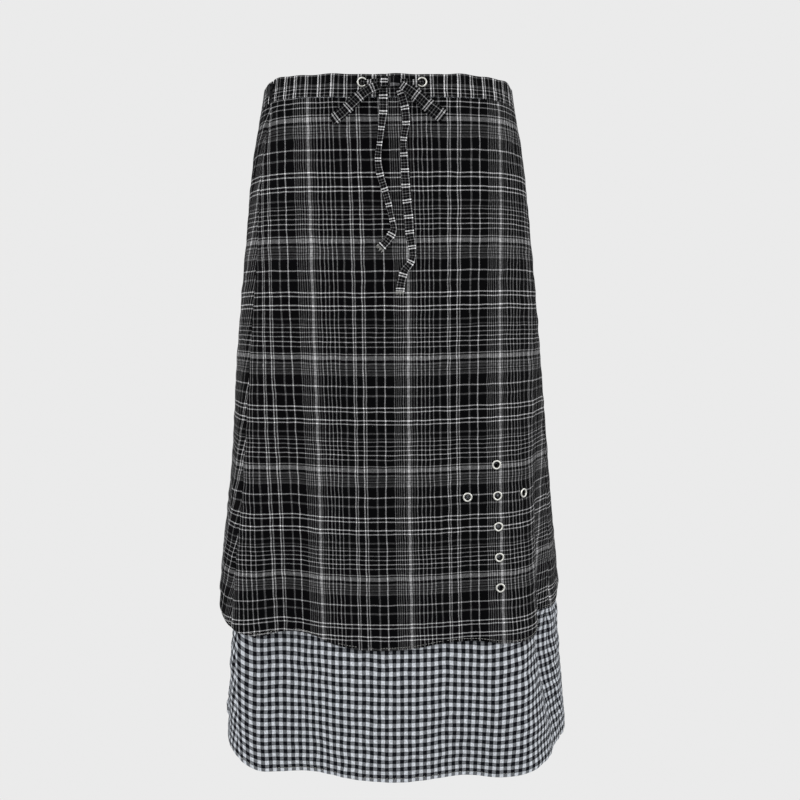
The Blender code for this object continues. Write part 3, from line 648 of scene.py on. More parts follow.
plaidWeft = {
    "repeat": 135.1,
    "start": 57.5,
    "ground": 0.03,
    "stripes": (
        (0.0, 1.5, 0.71), (135.1, 1.5, 0.71), (10.9, 2.2, 0.39), (25.1, 1.3, 0.86), (30.0, 1.3, 0.79),
        (40.5, 1.3, 0.90), (45.3, 1.3, 0.79), (56.2, 2.0, 0.36), (62.8, 1.6, 0.30), (66.1, 1.1, 0.62),
        (71.6, 1.1, 0.58), (76.9, 1.1, 0.64), (82.6, 1.1, 0.77), (88.3, 1.1, 0.62), (96.5, 1.2, 0.62),
        (101.2, 5.0, 0.56), (108.2, 2.2, 0.45), (112.0, 3.2, 0.30), (115.6, 1.6, 0.41), (118.6, 2.0, 0.28),
        (121.0, 2.0, 0.39),
    ),
}
plaidLook = {
    "roughness": 1.0, "sheen": 0.0, "wobble": 2.2, "yarn": 0.62, "contrast": 0.22, "uneven": 0.2,
    "bump": 0.35, "beads": 0.42, "beading": 0.7,
    "dark": (0.0006, 0.0006, 0.0009), "light": (0.93, 0.93, 0.945),
}
bandWarp = {  # along the band, so these lie across it
    "repeat": 46.8,
    "start": 3.0,
    "ground": 0.05,
    "stripes": (
        (2.0, 1.4, 0.99), (4.9, 1.2, 0.84), (9.8, 1.0, 0.44), (17.6, 1.5, 1.14), (20.7, 1.2, 0.88),
        (26.0, 1.1, 0.53), (33.2, 1.6, 1.17), (36.2, 1.3, 0.86), (42.0, 1.7, 0.46),
    ),
}
bandWeft = {
    "repeat": 40.0,
    "start": -26.0,
    "ground": 0.04,
    "stripes": ((1.5, 1.0, 0.48), (12.6, 3.0, 0.34), (16.4, 1.1, 0.57), (21.0, 1.1, 0.53), (24.6, 1.2, 0.34)),
}
tapeWarp = {  # across the tape's width
    "repeat": 40.0,
    "start": -20.0,
    "ground": 0.04,
    "stripes": ((15.9, 1.0, 0.75), (20.4, 0.8, 0.34), (24.0, 0.9, 0.51)),
}
tapeWeft = {
    "repeat": 17.6,
    "start": 0.0,
    "ground": 0.04,
    "stripes": ((2.0, 1.4, 1.17), (5.0, 1.4, 1.09), (9.4, 0.9, 0.44), (12.6, 0.9, 0.53), (15.6, 0.8, 0.39)),
}
ginghamWarp = {
    "repeat": 9.3,
    "start": 0.0,
    "ground": 0.78,
    "stripes": ((6.85, 4.9, 0.09), (4.95, 0.3, 0.40), (6.2, 0.3, 0.36), (7.5, 0.3, 0.36), (8.75, 0.3, 0.40)),
}
ginghamWeft = {
    "repeat": 9.3,
    "start": 0.0,
    "ground": 0.78,
    "stripes": ((6.85, 4.9, 0.09), (5.5, 0.3, 0.32), (8.2, 0.3, 0.32)),
}
ginghamLook = {
    "roughness": 1.0, "sheen": 0.0, "wobble": 2.0, "yarn": 0.46, "contrast": 0.2, "uneven": 0.1,
    "bump": 0.3, "beads": 0.5, "beading": 0.5, "dark": (0.001, 0.0015, 0.003), "light": (0.80, 0.84, 0.90),
}

plaidFinish = wovenCloth("plaid cotton", plaidWarp, plaidWeft, plaidLook)
bandFinish = wovenCloth("plaid cotton across the grain", bandWarp, bandWeft, plaidLook)
tapeFinish = wovenCloth("plaid cotton tape", tapeWarp, tapeWeft, plaidLook)
# the loops get a copy of the tape's finish with its light colour dimmed: painted shade, for loops that lie
# turned from the light
loopShadeLook = {**plaidLook, "light": (0.56, 0.56, 0.57)}
loopPaintedShadeFinish = wovenCloth("plaid cotton tape, painted in shade", tapeWarp, tapeWeft, loopShadeLook)
ginghamFinish = wovenCloth("crinkled gingham cotton", ginghamWarp, ginghamWeft, ginghamLook)


def colourBetween(tree, shader, share, dark, light):
    ramped = tree.nodes.new("ShaderNodeValToRGB")
    for element, colour in zip(ramped.color_ramp.elements, (dark, light)):
        element.color = colour + (1,)
    setSocket(tree, ramped.inputs[0], share)
    setSocket(tree, shader.inputs["Base Color"], ramped.outputs[0])


def mottledFinish(name, dark, light, scale, roughness, uneven=0.0, detail=2.0, sheen=0.0, metallic=0.0):
    # a fine noise sets the colour, and moves the roughness by up to uneven / 2 either way
    made, tree, shader = newFinish(name, roughness, sheen, metallic)
    coords = tree.nodes.new("ShaderNodeTexCoord")
    noise = newNode(tree, "TexNoise", Scale=scale, Detail=detail, Vector=coords.outputs["Object"])
    colourBetween(tree, shader, noise.outputs["Fac"], dark, light)
    if uneven:
        worn = mathNode(tree, "MULTIPLY_ADD", noise.outputs["Fac"], uneven, roughness - uneven / 2)
        setSocket(tree, shader.inputs["Roughness"], worn)
    return made


def ribbedTape(name, dark, light):
    # slanted ribs of a woven zip tape
    made, tree, shader = newFinish(name, roughness=0.85, sheen=0.1)
    coords = tree.nodes.new("ShaderNodeTexCoord")
    ribs = newNode(tree, "TexWave", Scale=700, Vector=coords.outputs["Object"])
    ribs.bands_direction = "DIAGONAL"
    colourBetween(tree, shader, ribs.outputs["Fac"], dark, light)
    addBump(tree, shader, ribs.outputs["Fac"], strength=0.4, distance=0.2 * mm)
    return made


plated = {"scale": 900, "uneven": 0.2, "detail": 4, "metallic": 1}
silverFinish = mottledFinish(
    "silver-plated brass", (0.42, 0.42, 0.39), (0.72, 0.72, 0.68), roughness=0.3, **plated
)
# the throat is coloured near black: mostly painted shade for the light it keeps out, with a little of the
# real throat's dulling
throatDullAndShadeFinish = mottledFinish(
    "brass in the throat, dulled and painted in shade", (0.01, 0.01, 0.01), (0.04, 0.04, 0.036), roughness=0.5, **plated
)
zipTapeFinish = ribbedTape("black zip tape", (0.004, 0.004, 0.005), (0.016, 0.016, 0.018))
zipMetalFinish = mottledFinish(
    "black lacquered zip metal", (0.006, 0.006, 0.007), (0.022, 0.022, 0.024), 500,
    roughness=0.325, uneven=0.25,
)
paleThread = mottledFinish(
    "pale grey sewing thread", (0.252, 0.252, 0.24), (0.42, 0.42, 0.4), 2500, roughness=0.7, sheen=0.2
)
print("finishes")

# Panels of cloth

panel = {
    "columns": 200, "hemRows": 9, "hemRoom": 1.35, "cloth": 0.9, "hemFold": 0.5, "sunk": 0.25,
    "edge": 0.8, "edgeCloth": 0.35, "edgeTuck": 0.3, "creasesFrom": 12, "crinklesFrom": 25, "hiddenTo": 540,
}
grain = {
    "lean": 0.0206,  # the plaid leans to the right as it goes down
    "leanFrom": 65,
    "tilt": 0.0075,
    "ease": 0.04,
    "backShift": 31.0,
    "give": (  # drop, how much the cloth has stretched down to there
        (0, 0), (57, 1.1), (100, 2.1), (145, 2.6), (192, 3.8), (240, 3.8), (330, 3.8), (370, 3.4),
        (430, 2.2), (463, 1.2), (505, 0.2), (560, -0.6), (598, -2.4), (625, -3.8), (660, -5),
    ),
    "driftAt": (-135, -88, -35, 25, 76, 108, 135),  # arc from centre front
    "drift": (  # drop, how far the lengthwise yarns have moved to the right at each of those
        (28, -1.2, 2.7, 1.6, 1.8, 5.4, 4.7, 2.7),
        (126, 0.0, 2.5, 2.9, 2.9, 4.3, 4.0, 2.2),
        (199, 1.2, 2.7, 3.3, 3.5, 3.0, 2.3, 0.5),
        (345, 3.5, 2.8, 1.9, 1.2, 0.4, -0.4, -1.4),
        (490, 5.8, 4.1, 0.4, -0.6, -0.2, -1.6, -4.0),
        (565, 5.7, 3.5, 0.0, -0.4, -0.5, -2.2, -4.0),
    ),
    "power": 1.8,
    "rise": (
        (-1.00, 8), (-0.62, 24), (-0.50, 24), (-0.42, 18), (-0.38, 11), (-0.33, 3), (-0.28, 0), (0.26, 0),
        (0.33, 4), (0.39, 11), (0.45, 20), (0.52, 25), (0.62, 25), (1.00, 8),
    ),
}
seamDip = {"width": 3.0, "depth": 0.9}
rowStretch = 0.00041  # the gingham's rows are a little taller away from its hem


def panelGrid(cut, edges):
    # drop = hem drop times a share that runs evenly, then finely over the hem's fold
    length = cut["length"]
    fine = cut["hemDepth"] * panel["hemRoom"] / length
    down = np.linspace(0, 1 - fine, cut["rows"])[:-1]
    share = np.concatenate([down, np.linspace(1 - fine, 1, panel["hemRows"] + 1)])
    start, end = edges(length * share[:, None])
    place = start + (end - start) * np.linspace(0, 1, panel["columns"])
    hems = hemDrop(place, length, cut["hem"])
    drops = share[:, None] * hems
    return place, drops, hems - drops


def seamEdge(place, arc):
    # -depth exp(-(d / w)^2), d the arc from the panel's nearer side edge
    nearest = np.minimum(place - place[:, :1], place[:, -1:] - place) * arc
    return -seamDip["depth"] * bump(nearest, seamDip["width"])


def clothPanel(name, cut, edges):
    # a shell under the face, raised by creases, crinkles, its seam edges and the hem's second layer
    place, drop, fromHem = panelGrid(cut, edges)
    arc = halfGirth(overGirth, between(place, 0), heightAt(place, drop))
    folded = 1 - ramp(fromHem, cut["hemDepth"] - panel["edge"], cut["hemDepth"] + panel["edge"])
    edge = ramp(fromHem, 0, panel["edge"])
    raised = cut["creases"](place, drop) * ramp(drop, 0, panel["creasesFrom"])
    crinkled = crinkleAt(place * creaseSpan, drop, cut["crinkle"])
    raised = raised + crinkled * ramp(drop, 0, panel["crinklesFrom"])
    raised = raised + seamEdge(place, arc) + panel["hemFold"] / 2 * folded - panel["edgeTuck"] * (1 - edge)
    thickness = panel["cloth"] + panel["hemFold"] * folded
    thickness = thickness * (panel["edgeCloth"] + (1 - panel["edgeCloth"]) * edge)
    outer = cut["face"](place, drop, panel["sunk"] - raised)
    inner = cut["face"](place, drop, panel["sunk"] - raised + thickness)
    points = np.concatenate([outer.reshape(3, -1), inner.reshape(3, -1)], axis=1).T
    u, v = cut["print"](place, drop, fromHem, cut["face"](place, drop))
    uv = np.stack([u.ravel(), v.ravel()], 1)
    made = meshObject(name, points, wallFaces(*place.shape), [cut["finish"]], np.concatenate([uv, uv]))
    step = np.diff(outer, axis=1)[:, :, :-1], np.diff(outer, axis=2)[:, :-1, :]
    area = np.linalg.norm(np.cross(step[0], step[1], axis=0), axis=0).sum() * mm * mm
    width = np.linalg.norm(np.diff(outer[:, -1], axis=1), axis=0).sum() * mm
    return made, (width, float(drop.max()) * mm), area


def arcFromMiddle(place, points):
    # the length along each row, from the panel's middle line (place 0, or 1 at the back)
    step = np.hypot(*np.diff(points[:2], axis=2))
    along = np.concatenate([np.zeros((len(place), 1)), np.cumsum(step, axis=1)], axis=1)
    middle = 0 if place[0, 0] < 0 else 1
    origin = [np.interp(middle, row, length) for row, length in zip(place, along)]
    return along - np.array(origin)[:, None]


def grainRise(place, drop):
    # the cross yarns rise to the sides as the flare widens
    at, rise = np.array(grain["rise"], float).T
    return throughRows(between(place, 0), at, rise) * np.clip(drop / overskirtLength, 0, 1) ** grain["power"]


def yarnDrift(arc, drop):
    # each row's cubic through its marks, shared out along the drop in straight lines
    rows = np.array(grain["drift"], float)
    at, drops = np.array(grain["driftAt"], float), rows[:, 0]
    nearness = np.eye(len(rows))
    return sum(
        np.interp(drop, drops, near) * throughRows(arc, at, row[1:]) for near, row in zip(nearness, rows)
    )


def plaidUv(place, drop, fromHem, points):
    # the arc from the panel's middle line, leaning as it goes down, and the drop with the cloth's give
    middle = 0 if place[0, 0] < 0 else 1
    arc = between(place, middle) * halfGirth(overGirth, between(place, 0), points[2])
    eased = grain["ease"] * ramp(place, 0.1, 0.35) * (1 - ramp(drop, 100, 450)) * (middle == 0)
    u = arc * (1 - eased) - grain["lean"] * (drop - grain["leanFrom"]) + grain["backShift"] * middle
    if middle == 0:
        u = u - yarnDrift(arc, drop)
    at, give = np.array(grain["give"], float).T
    v = drop - throughRows(drop, at, give) + grain["tilt"] * arc * (middle == 0)
    return u, v + grainRise(place, drop)


def ginghamUv(place, drop, fromHem, points):
    return arcFromMiddle(place, points), fromHem - rowStretch * fromHem**2


def halfGap(width):
    return width / float(np.mean(overGirth["lengths"][-1])) / 2


def panelEdges(side, leftGap, rightGap):
    def frontEdges(drop):
        return leftSeamAt(drop) + leftGap, rightSeam - rightGap

    def backEdges(drop):
        return rightSeam + rightGap, leftSeamAt(drop) + 2 - leftGap

    return frontEdges if side == "front" else backEdges


def overCreased(place, drop):
    return creaseAt(place, drop, overskirtCreases)


def underCreased(place, drop):
    # the overskirt's creases where it lies over, and its own below
    covered = 1 - ramp(drop, panel["hiddenTo"], underskirtFreeDrop)
    return overCreased(place, drop) * covered + creaseAt(place, drop, underskirtCreases)


cuts = {
    "overskirt": {
        "face": overskirtFace, "length": overskirtLength, "hem": overskirtHem, "hemDepth": 9, "rows": 176,
        "creases": overCreased, "crinkle": 0.10, "print": plaidUv,
        "finish": plaidFinish, "slot": "plaid",
    },
    "underskirt": {
        "face": underskirtFace, "length": underskirtLength, "hem": underskirtHem, "hemDepth": 12, "rows": 186,
        "creases": underCreased, "crinkle": 0.17, "print": ginghamUv,
        "finish": ginghamFinish, "slot": "gingham",
    },
}


def makePanels():
    gap = halfGap(seamGap)
    for side in ("front", "back"):
        for name, cut in cuts.items():
            made, flat, area = clothPanel(name + side.title(), cut, panelEdges(side, gap, gap))
            if (name, side) == ("overskirt", "front"):
                cutHoles(made, crossFrames)
            addPiece(made, cut["slot"], name + "_" + side)


# Eyelets

# from the profile point given by the dull key on, the throat takes the near-black finish of painted shade
eyelet = {
    "sides": 56, "bore": 2.7, "throat": 3.6, "barrel": 3.3, "radius": 5.85, "rise": 1.2, "seat": 0.2,
    "backRadius": 5.2, "backRise": 0.5, "lipSteps": 11, "dullAndShadeFrom": 15, "hole": 3.7, "holeSides": 28,
    "holeReach": 7,
}
bandEyelets = {"left": (-29.3, -2.2), "right": (38.3, -2.2)}  # x and height of the centre
cross = {"arc": 128, "drop": 466.5, "pitch": 38, "armPitch": 34.5, "armTilt": 1.2, "lean": 0.0275}
crossPlaces = {
    "top": (0, -1), "left_arm": (-1, 0), "centre": (0, 0), "right_arm": (1, 0),
    "lower_1": (0, 1), "lower_2": (0, 2), "lower_3": (0, 3),
}


frontPlaces = np.linspace(-0.36, 0.36, 361)


def placeAt(side, height):
    # the place and drop with that x and height on the front, read from a fine row of places
    places = frontPlaces
    level = np.full_like(places, height)
    x = atBearing(overGirth["rows"], bearingAt(overGirth, places, level), level)[0]
    place = float(np.interp(side, x, places))
    return place, float((seamHeight(place) - height) / clothSlope)


def frameOn(place, drop):
    # Z out of the cloth, Y up it, the origin on the outer face
    along = overskirtFace(place + placeStep, drop) - overskirtFace(place - placeStep, drop)
    upward = overskirtFace(place, drop - dropStep) - overskirtFace(place, drop + dropStep)
    xAxis = Vector(along).normalized()
    zAxis = xAxis.cross(Vector(upward)).normalized()
    made = Matrix((xAxis, zAxis.cross(xAxis), zAxis)).transposed().to_4x4()
    made.translation = Vector(overskirtFace(place, drop))
    return made


def crossFrame(across, down):
    drop = cross["drop"] + down * cross["pitch"] - across * cross["armTilt"]
    arc = cross["arc"] + across * cross["armPitch"] + (drop - cross["drop"]) * cross["lean"]
    height = np.array(waist["seamHeight"] - clothSlope * drop)
    return frameOn(arc / float(halfGirth(overGirth, 1, height)), drop)


def inFrame(matrix, points):
    m = np.array(matrix)
    return np.asarray(points, float) @ m[:3, :3].T + m[:3, 3]


def turned(profile, sides):
    # each (r, h) of the closed profile at (r cos t, r sin t, h)
    turn = circle(sides)
    r, h = np.array(profile, float).T
    rings = np.stack([np.outer(np.cos(turn), r), np.outer(np.sin(turn), r), np.outer(np.ones(sides), h)], -1)
    index = np.arange(sides * len(r)).reshape(sides, len(r))
    ahead, up = np.roll(index, -1, axis=0), np.roll(index, -1, axis=1)
    faces = np.stack([index, ahead, np.roll(ahead, -1, axis=1), up], -1).reshape(-1, 4)
    return rings.reshape(-1, 3), faces


def eyeletProfile(thickness):
    # over the rolled lip in an arc, under it, down the barrel, out to the back flange and up the throat
    e = eyelet
    middle, half = (e["throat"] + e["radius"]) / 2, (e["radius"] - e["throat"]) / 2
    lip = [
        (middle - half * math.cos(t), e["seat"] + 0.25 + e["rise"] * math.sin(t) ** 0.8)
        for t in np.linspace(0, math.pi, e["lipSteps"])
    ]
    behind = -thickness - e["seat"]
    tail = [
        (e["radius"] - 0.15, e["seat"]), (e["barrel"] + 0.15, e["seat"]), (e["barrel"] + 0.15, behind),
        (e["backRadius"], behind), (e["backRadius"] - 0.2, behind - e["backRise"]),
        (e["bore"], behind - e["backRise"]), (e["bore"], -0.6), (e["bore"] + 0.3, 0.1),
    ]
    return lip + tail


def makeEyelet(name, matrix, thickness):
    profile = eyeletProfile(thickness)
    points, faces = turned(profile, eyelet["sides"])
    title = name.title().replace("_", "")
    # faces in the throat take the second finish, near black as painted shade
    made = meshObject(title, inFrame(matrix, points), faces, [silverFinish, throatDullAndShadeFinish])
    around = np.arange(len(faces)) % len(profile)
    made.data.polygons.foreach_set("material_index", (around >= eyelet["dullAndShadeFrom"]).astype(np.int32))
    addPiece(made, "eyelet_metal", name)


def cutHoles(cloth, frames):
    # one cylinder for each hole, taken out of the cloth
    sides, reach = eyelet["holeSides"], eyelet["holeReach"]
    ring = np.stack([np.cos(circle(sides)), np.sin(circle(sides))], 1) * eyelet["hole"]
    post = np.concatenate([np.column_stack([ring, np.full(sides, h)]) for h in (reach, -reach)])
    points, faces = joined([(inFrame(matrix, post), tubeFaces(2, sides)) for matrix in frames])
    cutter = meshObject("cutter", points, faces, [])
    boolean = cloth.modifiers.new("holes", "BOOLEAN")
    boolean.object = cutter
    finishedCopy(cloth)
    bpy.data.objects.remove(cutter)


crossFrames = [crossFrame(*steps) for steps in crossPlaces.values()]
bandFrames = {side: frameOn(*placeAt(*at)) for side, at in bandEyelets.items()}
makePanels()
for label, matrix in zip(crossPlaces, crossFrames):
    makeEyelet("eyelet_cross_" + label, matrix, solidCloth)
for side, matrix in bandFrames.items():
    makeEyelet("eyelet_band_" + side, matrix, bandCloth)
print("overskirt, underskirt and eyelets")

# Waistband

band = {
    "columns": 260, "rows": 26, "roll": 1.3, "slit": 6.4, "middle": -13, "footDepth": 0.8, "foot": 1.4,
    "puckers": ((0.175, 4.1, 0), (0.245, 7.7, 1)),  # height, length / 2 pi, phase
    "puckersGrow": (2, 20),
    "scallops": ((0.5, 11.3, 0.6), (0.35, 5.9, 0)),
    "scallopsGrow": (8, bandHeight),
    "sideScallops": {"more": 0.7, "arc": (60, 120)},
    "shift": ((-120, 4.0), (-100, 6.3), (-75, 7.1), (-40, 7.8), (0, 6.0), (50, 3.5), (110, 3.7), (140, 2.0)),
    "backShift": 24.0,
}


def waves(arc, table):
    # the sum of height sin(arc / length + phase)
    return sum(height * np.sin(arc / length + phase) for height, length, phase in table)


def bandPanel(name, edges, finish):
    # an upright wall whose top edge is rolled over: thickness falls as sqrt(1 - (1 - t)^2) near it
    start, end = edges(0)
    places = np.linspace(start, end, band["columns"])
    share = np.sin(np.linspace(0, math.pi / 2, band["rows"]))
    drops = -seamGap - (bandHeight - seamGap) * share
    drop = np.broadcast_to(drops[::-1, None], (band["rows"], band["columns"]))
    place = np.broadcast_to(places, drop.shape)
    fromTop = drop + bandHeight
    rounding = np.sqrt(np.clip(1 - (1 - np.clip(fromTop / band["roll"], 0, 1)) ** 2, 0, 1))
    middlePlace = 0 if place[0, 0] < 0 else 1
    level = heightAt(place, np.full_like(place, band["middle"]))
    arc = between(place, middlePlace) * halfGirth(overGirth, between(place, 0), level)
    puckers = waves(arc, band["puckers"]) * ramp(-drop, *band["puckersGrow"])
    foot = band["footDepth"] * bump(drop, band["foot"])
    middle = bandCloth / 2
    half = (middle - panel["sunk"]) * rounding
    outer = overskirtFace(place, drop, middle - half - puckers * 0.4 + foot)
    inner = overskirtFace(place, drop, middle + half)
    taller = 1 + band["sideScallops"]["more"] * ramp(np.abs(arc), *band["sideScallops"]["arc"])
    lift = waves(arc, band["scallops"]) * ramp(-drop, *band["scallopsGrow"]) * taller
    outer[2] += lift
    inner[2] += lift
    points = np.concatenate([outer.reshape(3, -1), inner.reshape(3, -1)], axis=1).T
    at, shift = np.array(band["shift"], float).T
    u = arc + (throughRows(arc, at, shift) if middlePlace == 0 else band["backShift"])
    uv = np.stack([u.ravel(), drop.ravel()], 1)
    return meshObject(name, points, wallFaces(*place.shape), [finish], np.concatenate([uv, uv]))


def makeBand():
    gap, slit = halfGap(seamGap), halfGap(band["slit"])
    front = bandPanel("waistbandFront", panelEdges("front", slit, gap), bandFinish)
    back = bandPanel("waistbandBack", panelEdges("back", slit, gap), bandFinish)
    cutHoles(front, bandFrames.values())
    addPiece(front, "band", "waistband_front")
    addPiece(back, "band", "waistband_back")


makeBand()
print("waistband")

# Tie

tape = {
    "thickness": 1.0, "diameter": 9.6, "crossPoints": 7, "steps": 90, "shortSteps": 40, "edgeThin": 0.45,
    "curl": 0.35, "ripple": (0.25, 5.3), "twist": (0.18, 3.1),  # height, length / 2 pi
}
routeColumns = ("side", "height", "stand", "turn", "width")
leftTail = (
    (-5.4, -9.6, 4.2, 0, 9.5), (-5.4, -19.8, 3.4, 0, 9.8), (-5.6, -34.0, 2.6, 10, 9.4),
    (-7.4, -51.0, 3.4, 35, 8.6), (-9.4, -68.6, 4.4, 50, 8.6), (-11.4, -85.4, 4.0, 40, 8.6),
    (-9.5, -103.0, 3.6, 30, 9.0), (-4.0, -121.0, 3.8, 35, 9.0), (1.0, -140.6, 4.2, 45, 9.0),
    (4.6, -157.0, 4.2, 50, 9.0), (6.2, -166.0, 4.4, 40, 9.4), (3.0, -174.0, 5.0, 10, 10.0),
    (-2.0, -181.0, 5.4, 0, 10.5), (-8.0, -187.0, 5.0, 0, 11.0),
)
rightTail = (
    (13.2, -10.4, 3.0, 0, 8.0), (16.8, -21.0, 3.0, 0, 8.6), (19.6, -34.2, 2.8, 10, 9.4),
    (20.3, -48.6, 3.4, 30, 9.6), (17.6, -66.0, 4.4, 45, 9.4), (18.0, -83.0, 4.0, 35, 9.4),
    (19.1, -100.0, 3.2, 20, 9.6), (20.1, -119.0, 2.6, 0, 10.2), (21.9, -138.3, 2.6, 0, 10.4),
    (23.5, -155.3, 2.6, 0, 10.4), (24.8, -173.0, 2.8, 5, 10.2), (27.2, -186.0, 3.4, 20, 9.8),
    (28.2, -198.0, 4.4, 35, 9.6), (24.7, -206.8, 5.0, 30, 9.4), (18.8, -213.7, 4.6, 10, 9.8),
    (16.1, -223.0, 3.8, 0, 10.0), (14.3, -232.0, 3.4, 0, 10.0), (13.6, -238.0, 3.2, 0, 10.0),
)
leftLoop = (  # side, height, width
    (-10.5, -5.6, 8.5), (-20.0, -9.8, 11.0), (-33.0, -18.6, 12.5), (-46.0, -31.0, 13.0), (-62.5, -44.5, 13.0),
)
rightLoop = (
    (14.4, -4.6, 8.4), (25.0, -11.5, 13.0), (38.0, -21.5, 15.0), (50.0, -31.5, 16.0), (62.5, -40.5, 15.5),
)
printShift = {"leftTail": 12.6, "rightTail": 0.4, "leftLoop": 3.0, "rightLoop": 9.0, "strand": 4.0}
fray = {"yarns": 16, "spread": 0.16, "thickness": 0.34, "lengths": (2, 5.5), "root": 0.8, "seed": 5}
loop = {"back": 5.2, "front": 9.4, "curl": 0.5, "neck": 0.45, "neckEnd": 0.35, "tipPower": 6}
knot = {
    "centre": (2.5, -2.0), "size": (23, 8, 13), "stand": 5.4,
    "turns": 72, "rings": 48, "pole": 1.55, "power": 0.72,
    "wraps": ((0.1, 0.42, -0.2, 0.09), (0.09, -0.35, 0.15, 0.08)),  # depth, place, slant, half width
    "ripple": (0.025, 9, 3),  # height, turns up, turns across
    "wrapEdge": (-0.22, -0.08), "printWidth": 11.5, "printAside": 6,
    "leftPrint": (5, -6.5), "rightPrint": (13.2, 1.6),  # at the middle, and how much more at the top
}
strand = (  # share of the way, stand, width, thickness
    (0.00, -7.0, 4.4, 2.6), (0.00, -1.5, 4.4, 2.6), (0.00, 1.6, 4.2, 2.4),
    (0.16, 3.2, 4.8, 1.7), (0.50, 2.8, 6.4, 1.4), (1.00, 2.8, 7.0, 1.4),
)


def frontPoint(side, height, stand):
    place, drop = placeAt(side, height)
    return np.array([side, overskirtFace(place, drop)[1] - stand, height])


def alongLine(marks):
    return np.concatenate([[0], np.cumsum(np.linalg.norm(np.diff(marks, axis=0), axis=1))])


def smoothLine(marks, steps):
    # a cubic through the marks, with each mark's length along it and each step's
    length = alongLine(marks)
    at = np.linspace(0, length[-1], steps)
    return length, at, np.stack([throughRows(at, length, column) for column in marks.T], axis=1)


def unit(vectors):
    return vectors / np.linalg.norm(vectors, axis=-1, keepdims=True)


def tapePiece(name, centres, across, widths, thicks, finish, curl=0.0, shift=0.0):
    # round each centre, s goes across and back half the thickness out, lifted by curl (1 - s^2) and ripples
    along = unit(np.gradient(centres, axis=0))
    across = unit(across - (across * along).sum(1)[:, None] * along)
    out = np.cross(along, across)
    s = np.linspace(-1, 1, tape["crossPoints"])
    ring = np.concatenate([s, s[::-1]])
    side = np.concatenate([np.full_like(s, -0.5), np.full_like(s, 0.5)]) * (1 - tape["edgeThin"] * ring**8)
    length = alongLine(centres)
    (ripple, rippleRun), (twist, twistRun) = tape["ripple"], tape["twist"]
    lift = thicks[:, None] * side + curl * (1 - ring**2)
    lift = lift + ripple * np.sin(length / rippleRun + shift)[:, None] * (1 - ring**2)
    lift = lift + twist * np.sin(length / twistRun)[:, None] * ring
    wide = centres[:, None] + across[:, None] * (widths[:, None] / 2 * ring)[..., None]
    points = (wide + out[:, None] * lift[..., None]).reshape(-1, 3)
    uv = np.stack([widths[:, None] / 2 * ring, np.broadcast_to(length[:, None] + shift, lift.shape)], -1)
    return meshObject(name, points, tubeFaces(len(centres), len(ring)), [finish], uv.reshape(-1, 2), sharp=60)


def spindles(start, end, thickness, upward=(0, 0, 1), sides=6, rings=5):
    # round each line from start to end, a radius of t / 2 sqrt(1 - (0.93 s)^2)
    count = len(start)
    s = np.linspace(-1, 1, rings)
    turn = circle(sides)
    run = unit(end - start)
    out = unit(np.cross(run, np.array(upward, float)))
    up = np.cross(out, run)
    radius = thickness / 2 * np.sqrt(1 - (s * 0.93) ** 2)
    line = (start + end)[:, None] / 2 + (end - start)[:, None] / 2 * s[:, None]
    ring = up[:, None] * np.cos(turn)[:, None] + out[:, None] * np.sin(turn)[:, None]
    points = line[:, :, None] + ring[:, None] * radius[:, None, None]
    one = np.arange(rings * sides).reshape(rings, sides)
    ahead = np.roll(one, -1, axis=1)
    quads = np.stack([one[:-1], ahead[:-1], ahead[1:], one[1:]], -1).reshape(-1, 4)
    offset = (np.arange(count) * rings * sides)[:, None, None]
    caps = np.stack([one[0][::-1], one[-1]])
    faces = (quads + offset).reshape(-1, 4).tolist() + (caps + offset).reshape(-1, sides).tolist()
    return points.reshape(-1, 3), faces


def makeFray(name, centres, across, width):
    # loose yarns past the cut end, of uneven length and heading
    rng = np.random.default_rng(fray["seed"])
    count = fray["yarns"]
    start = centres[-1] + across[-1] * (np.linspace(-0.46, 0.46, count) * width)[:, None]
    down = unit(centres[-1] - centres[-4]) + rng.normal(0, fray["spread"], (count, 3))
    end = start + unit(down) * rng.uniform(*fray["lengths"], count)[:, None]
    root = start - unit(down) * fray["root"]
    points, faces = spindles(root, end, fray["thickness"], (0, -1, 0), sides=5, rings=4)
    return addPiece(meshObject(name, points, faces, [paleThread]), "tie_tape")


def makeTail(name, table, nodeName, shift):
    rows = dict(zip(routeColumns, np.array(table).T))
    marks = np.array([frontPoint(*row[:3]) for row in table])
    length, at, centres = smoothLine(marks, tape["steps"])
    turn = np.radians(throughRows(at, length, rows["turn"]))[:, None]
    forward = np.array([0.0, -1.0, 0.0])
    flat = unit(np.cross(np.gradient(centres, axis=0), forward))
    across = flat * np.cos(turn) - forward * np.sin(turn)
    widths = throughRows(at, length, rows["width"])
    thicks = np.full_like(widths, tape["thickness"])
    made = tapePiece(name, centres, across, widths, thicks, tapeFinish, tape["curl"], shift)
    addPiece(made, "tie_tape", nodeName)
    frayed = makeFray(name + "Fray", centres, unit(across), widths[-1])


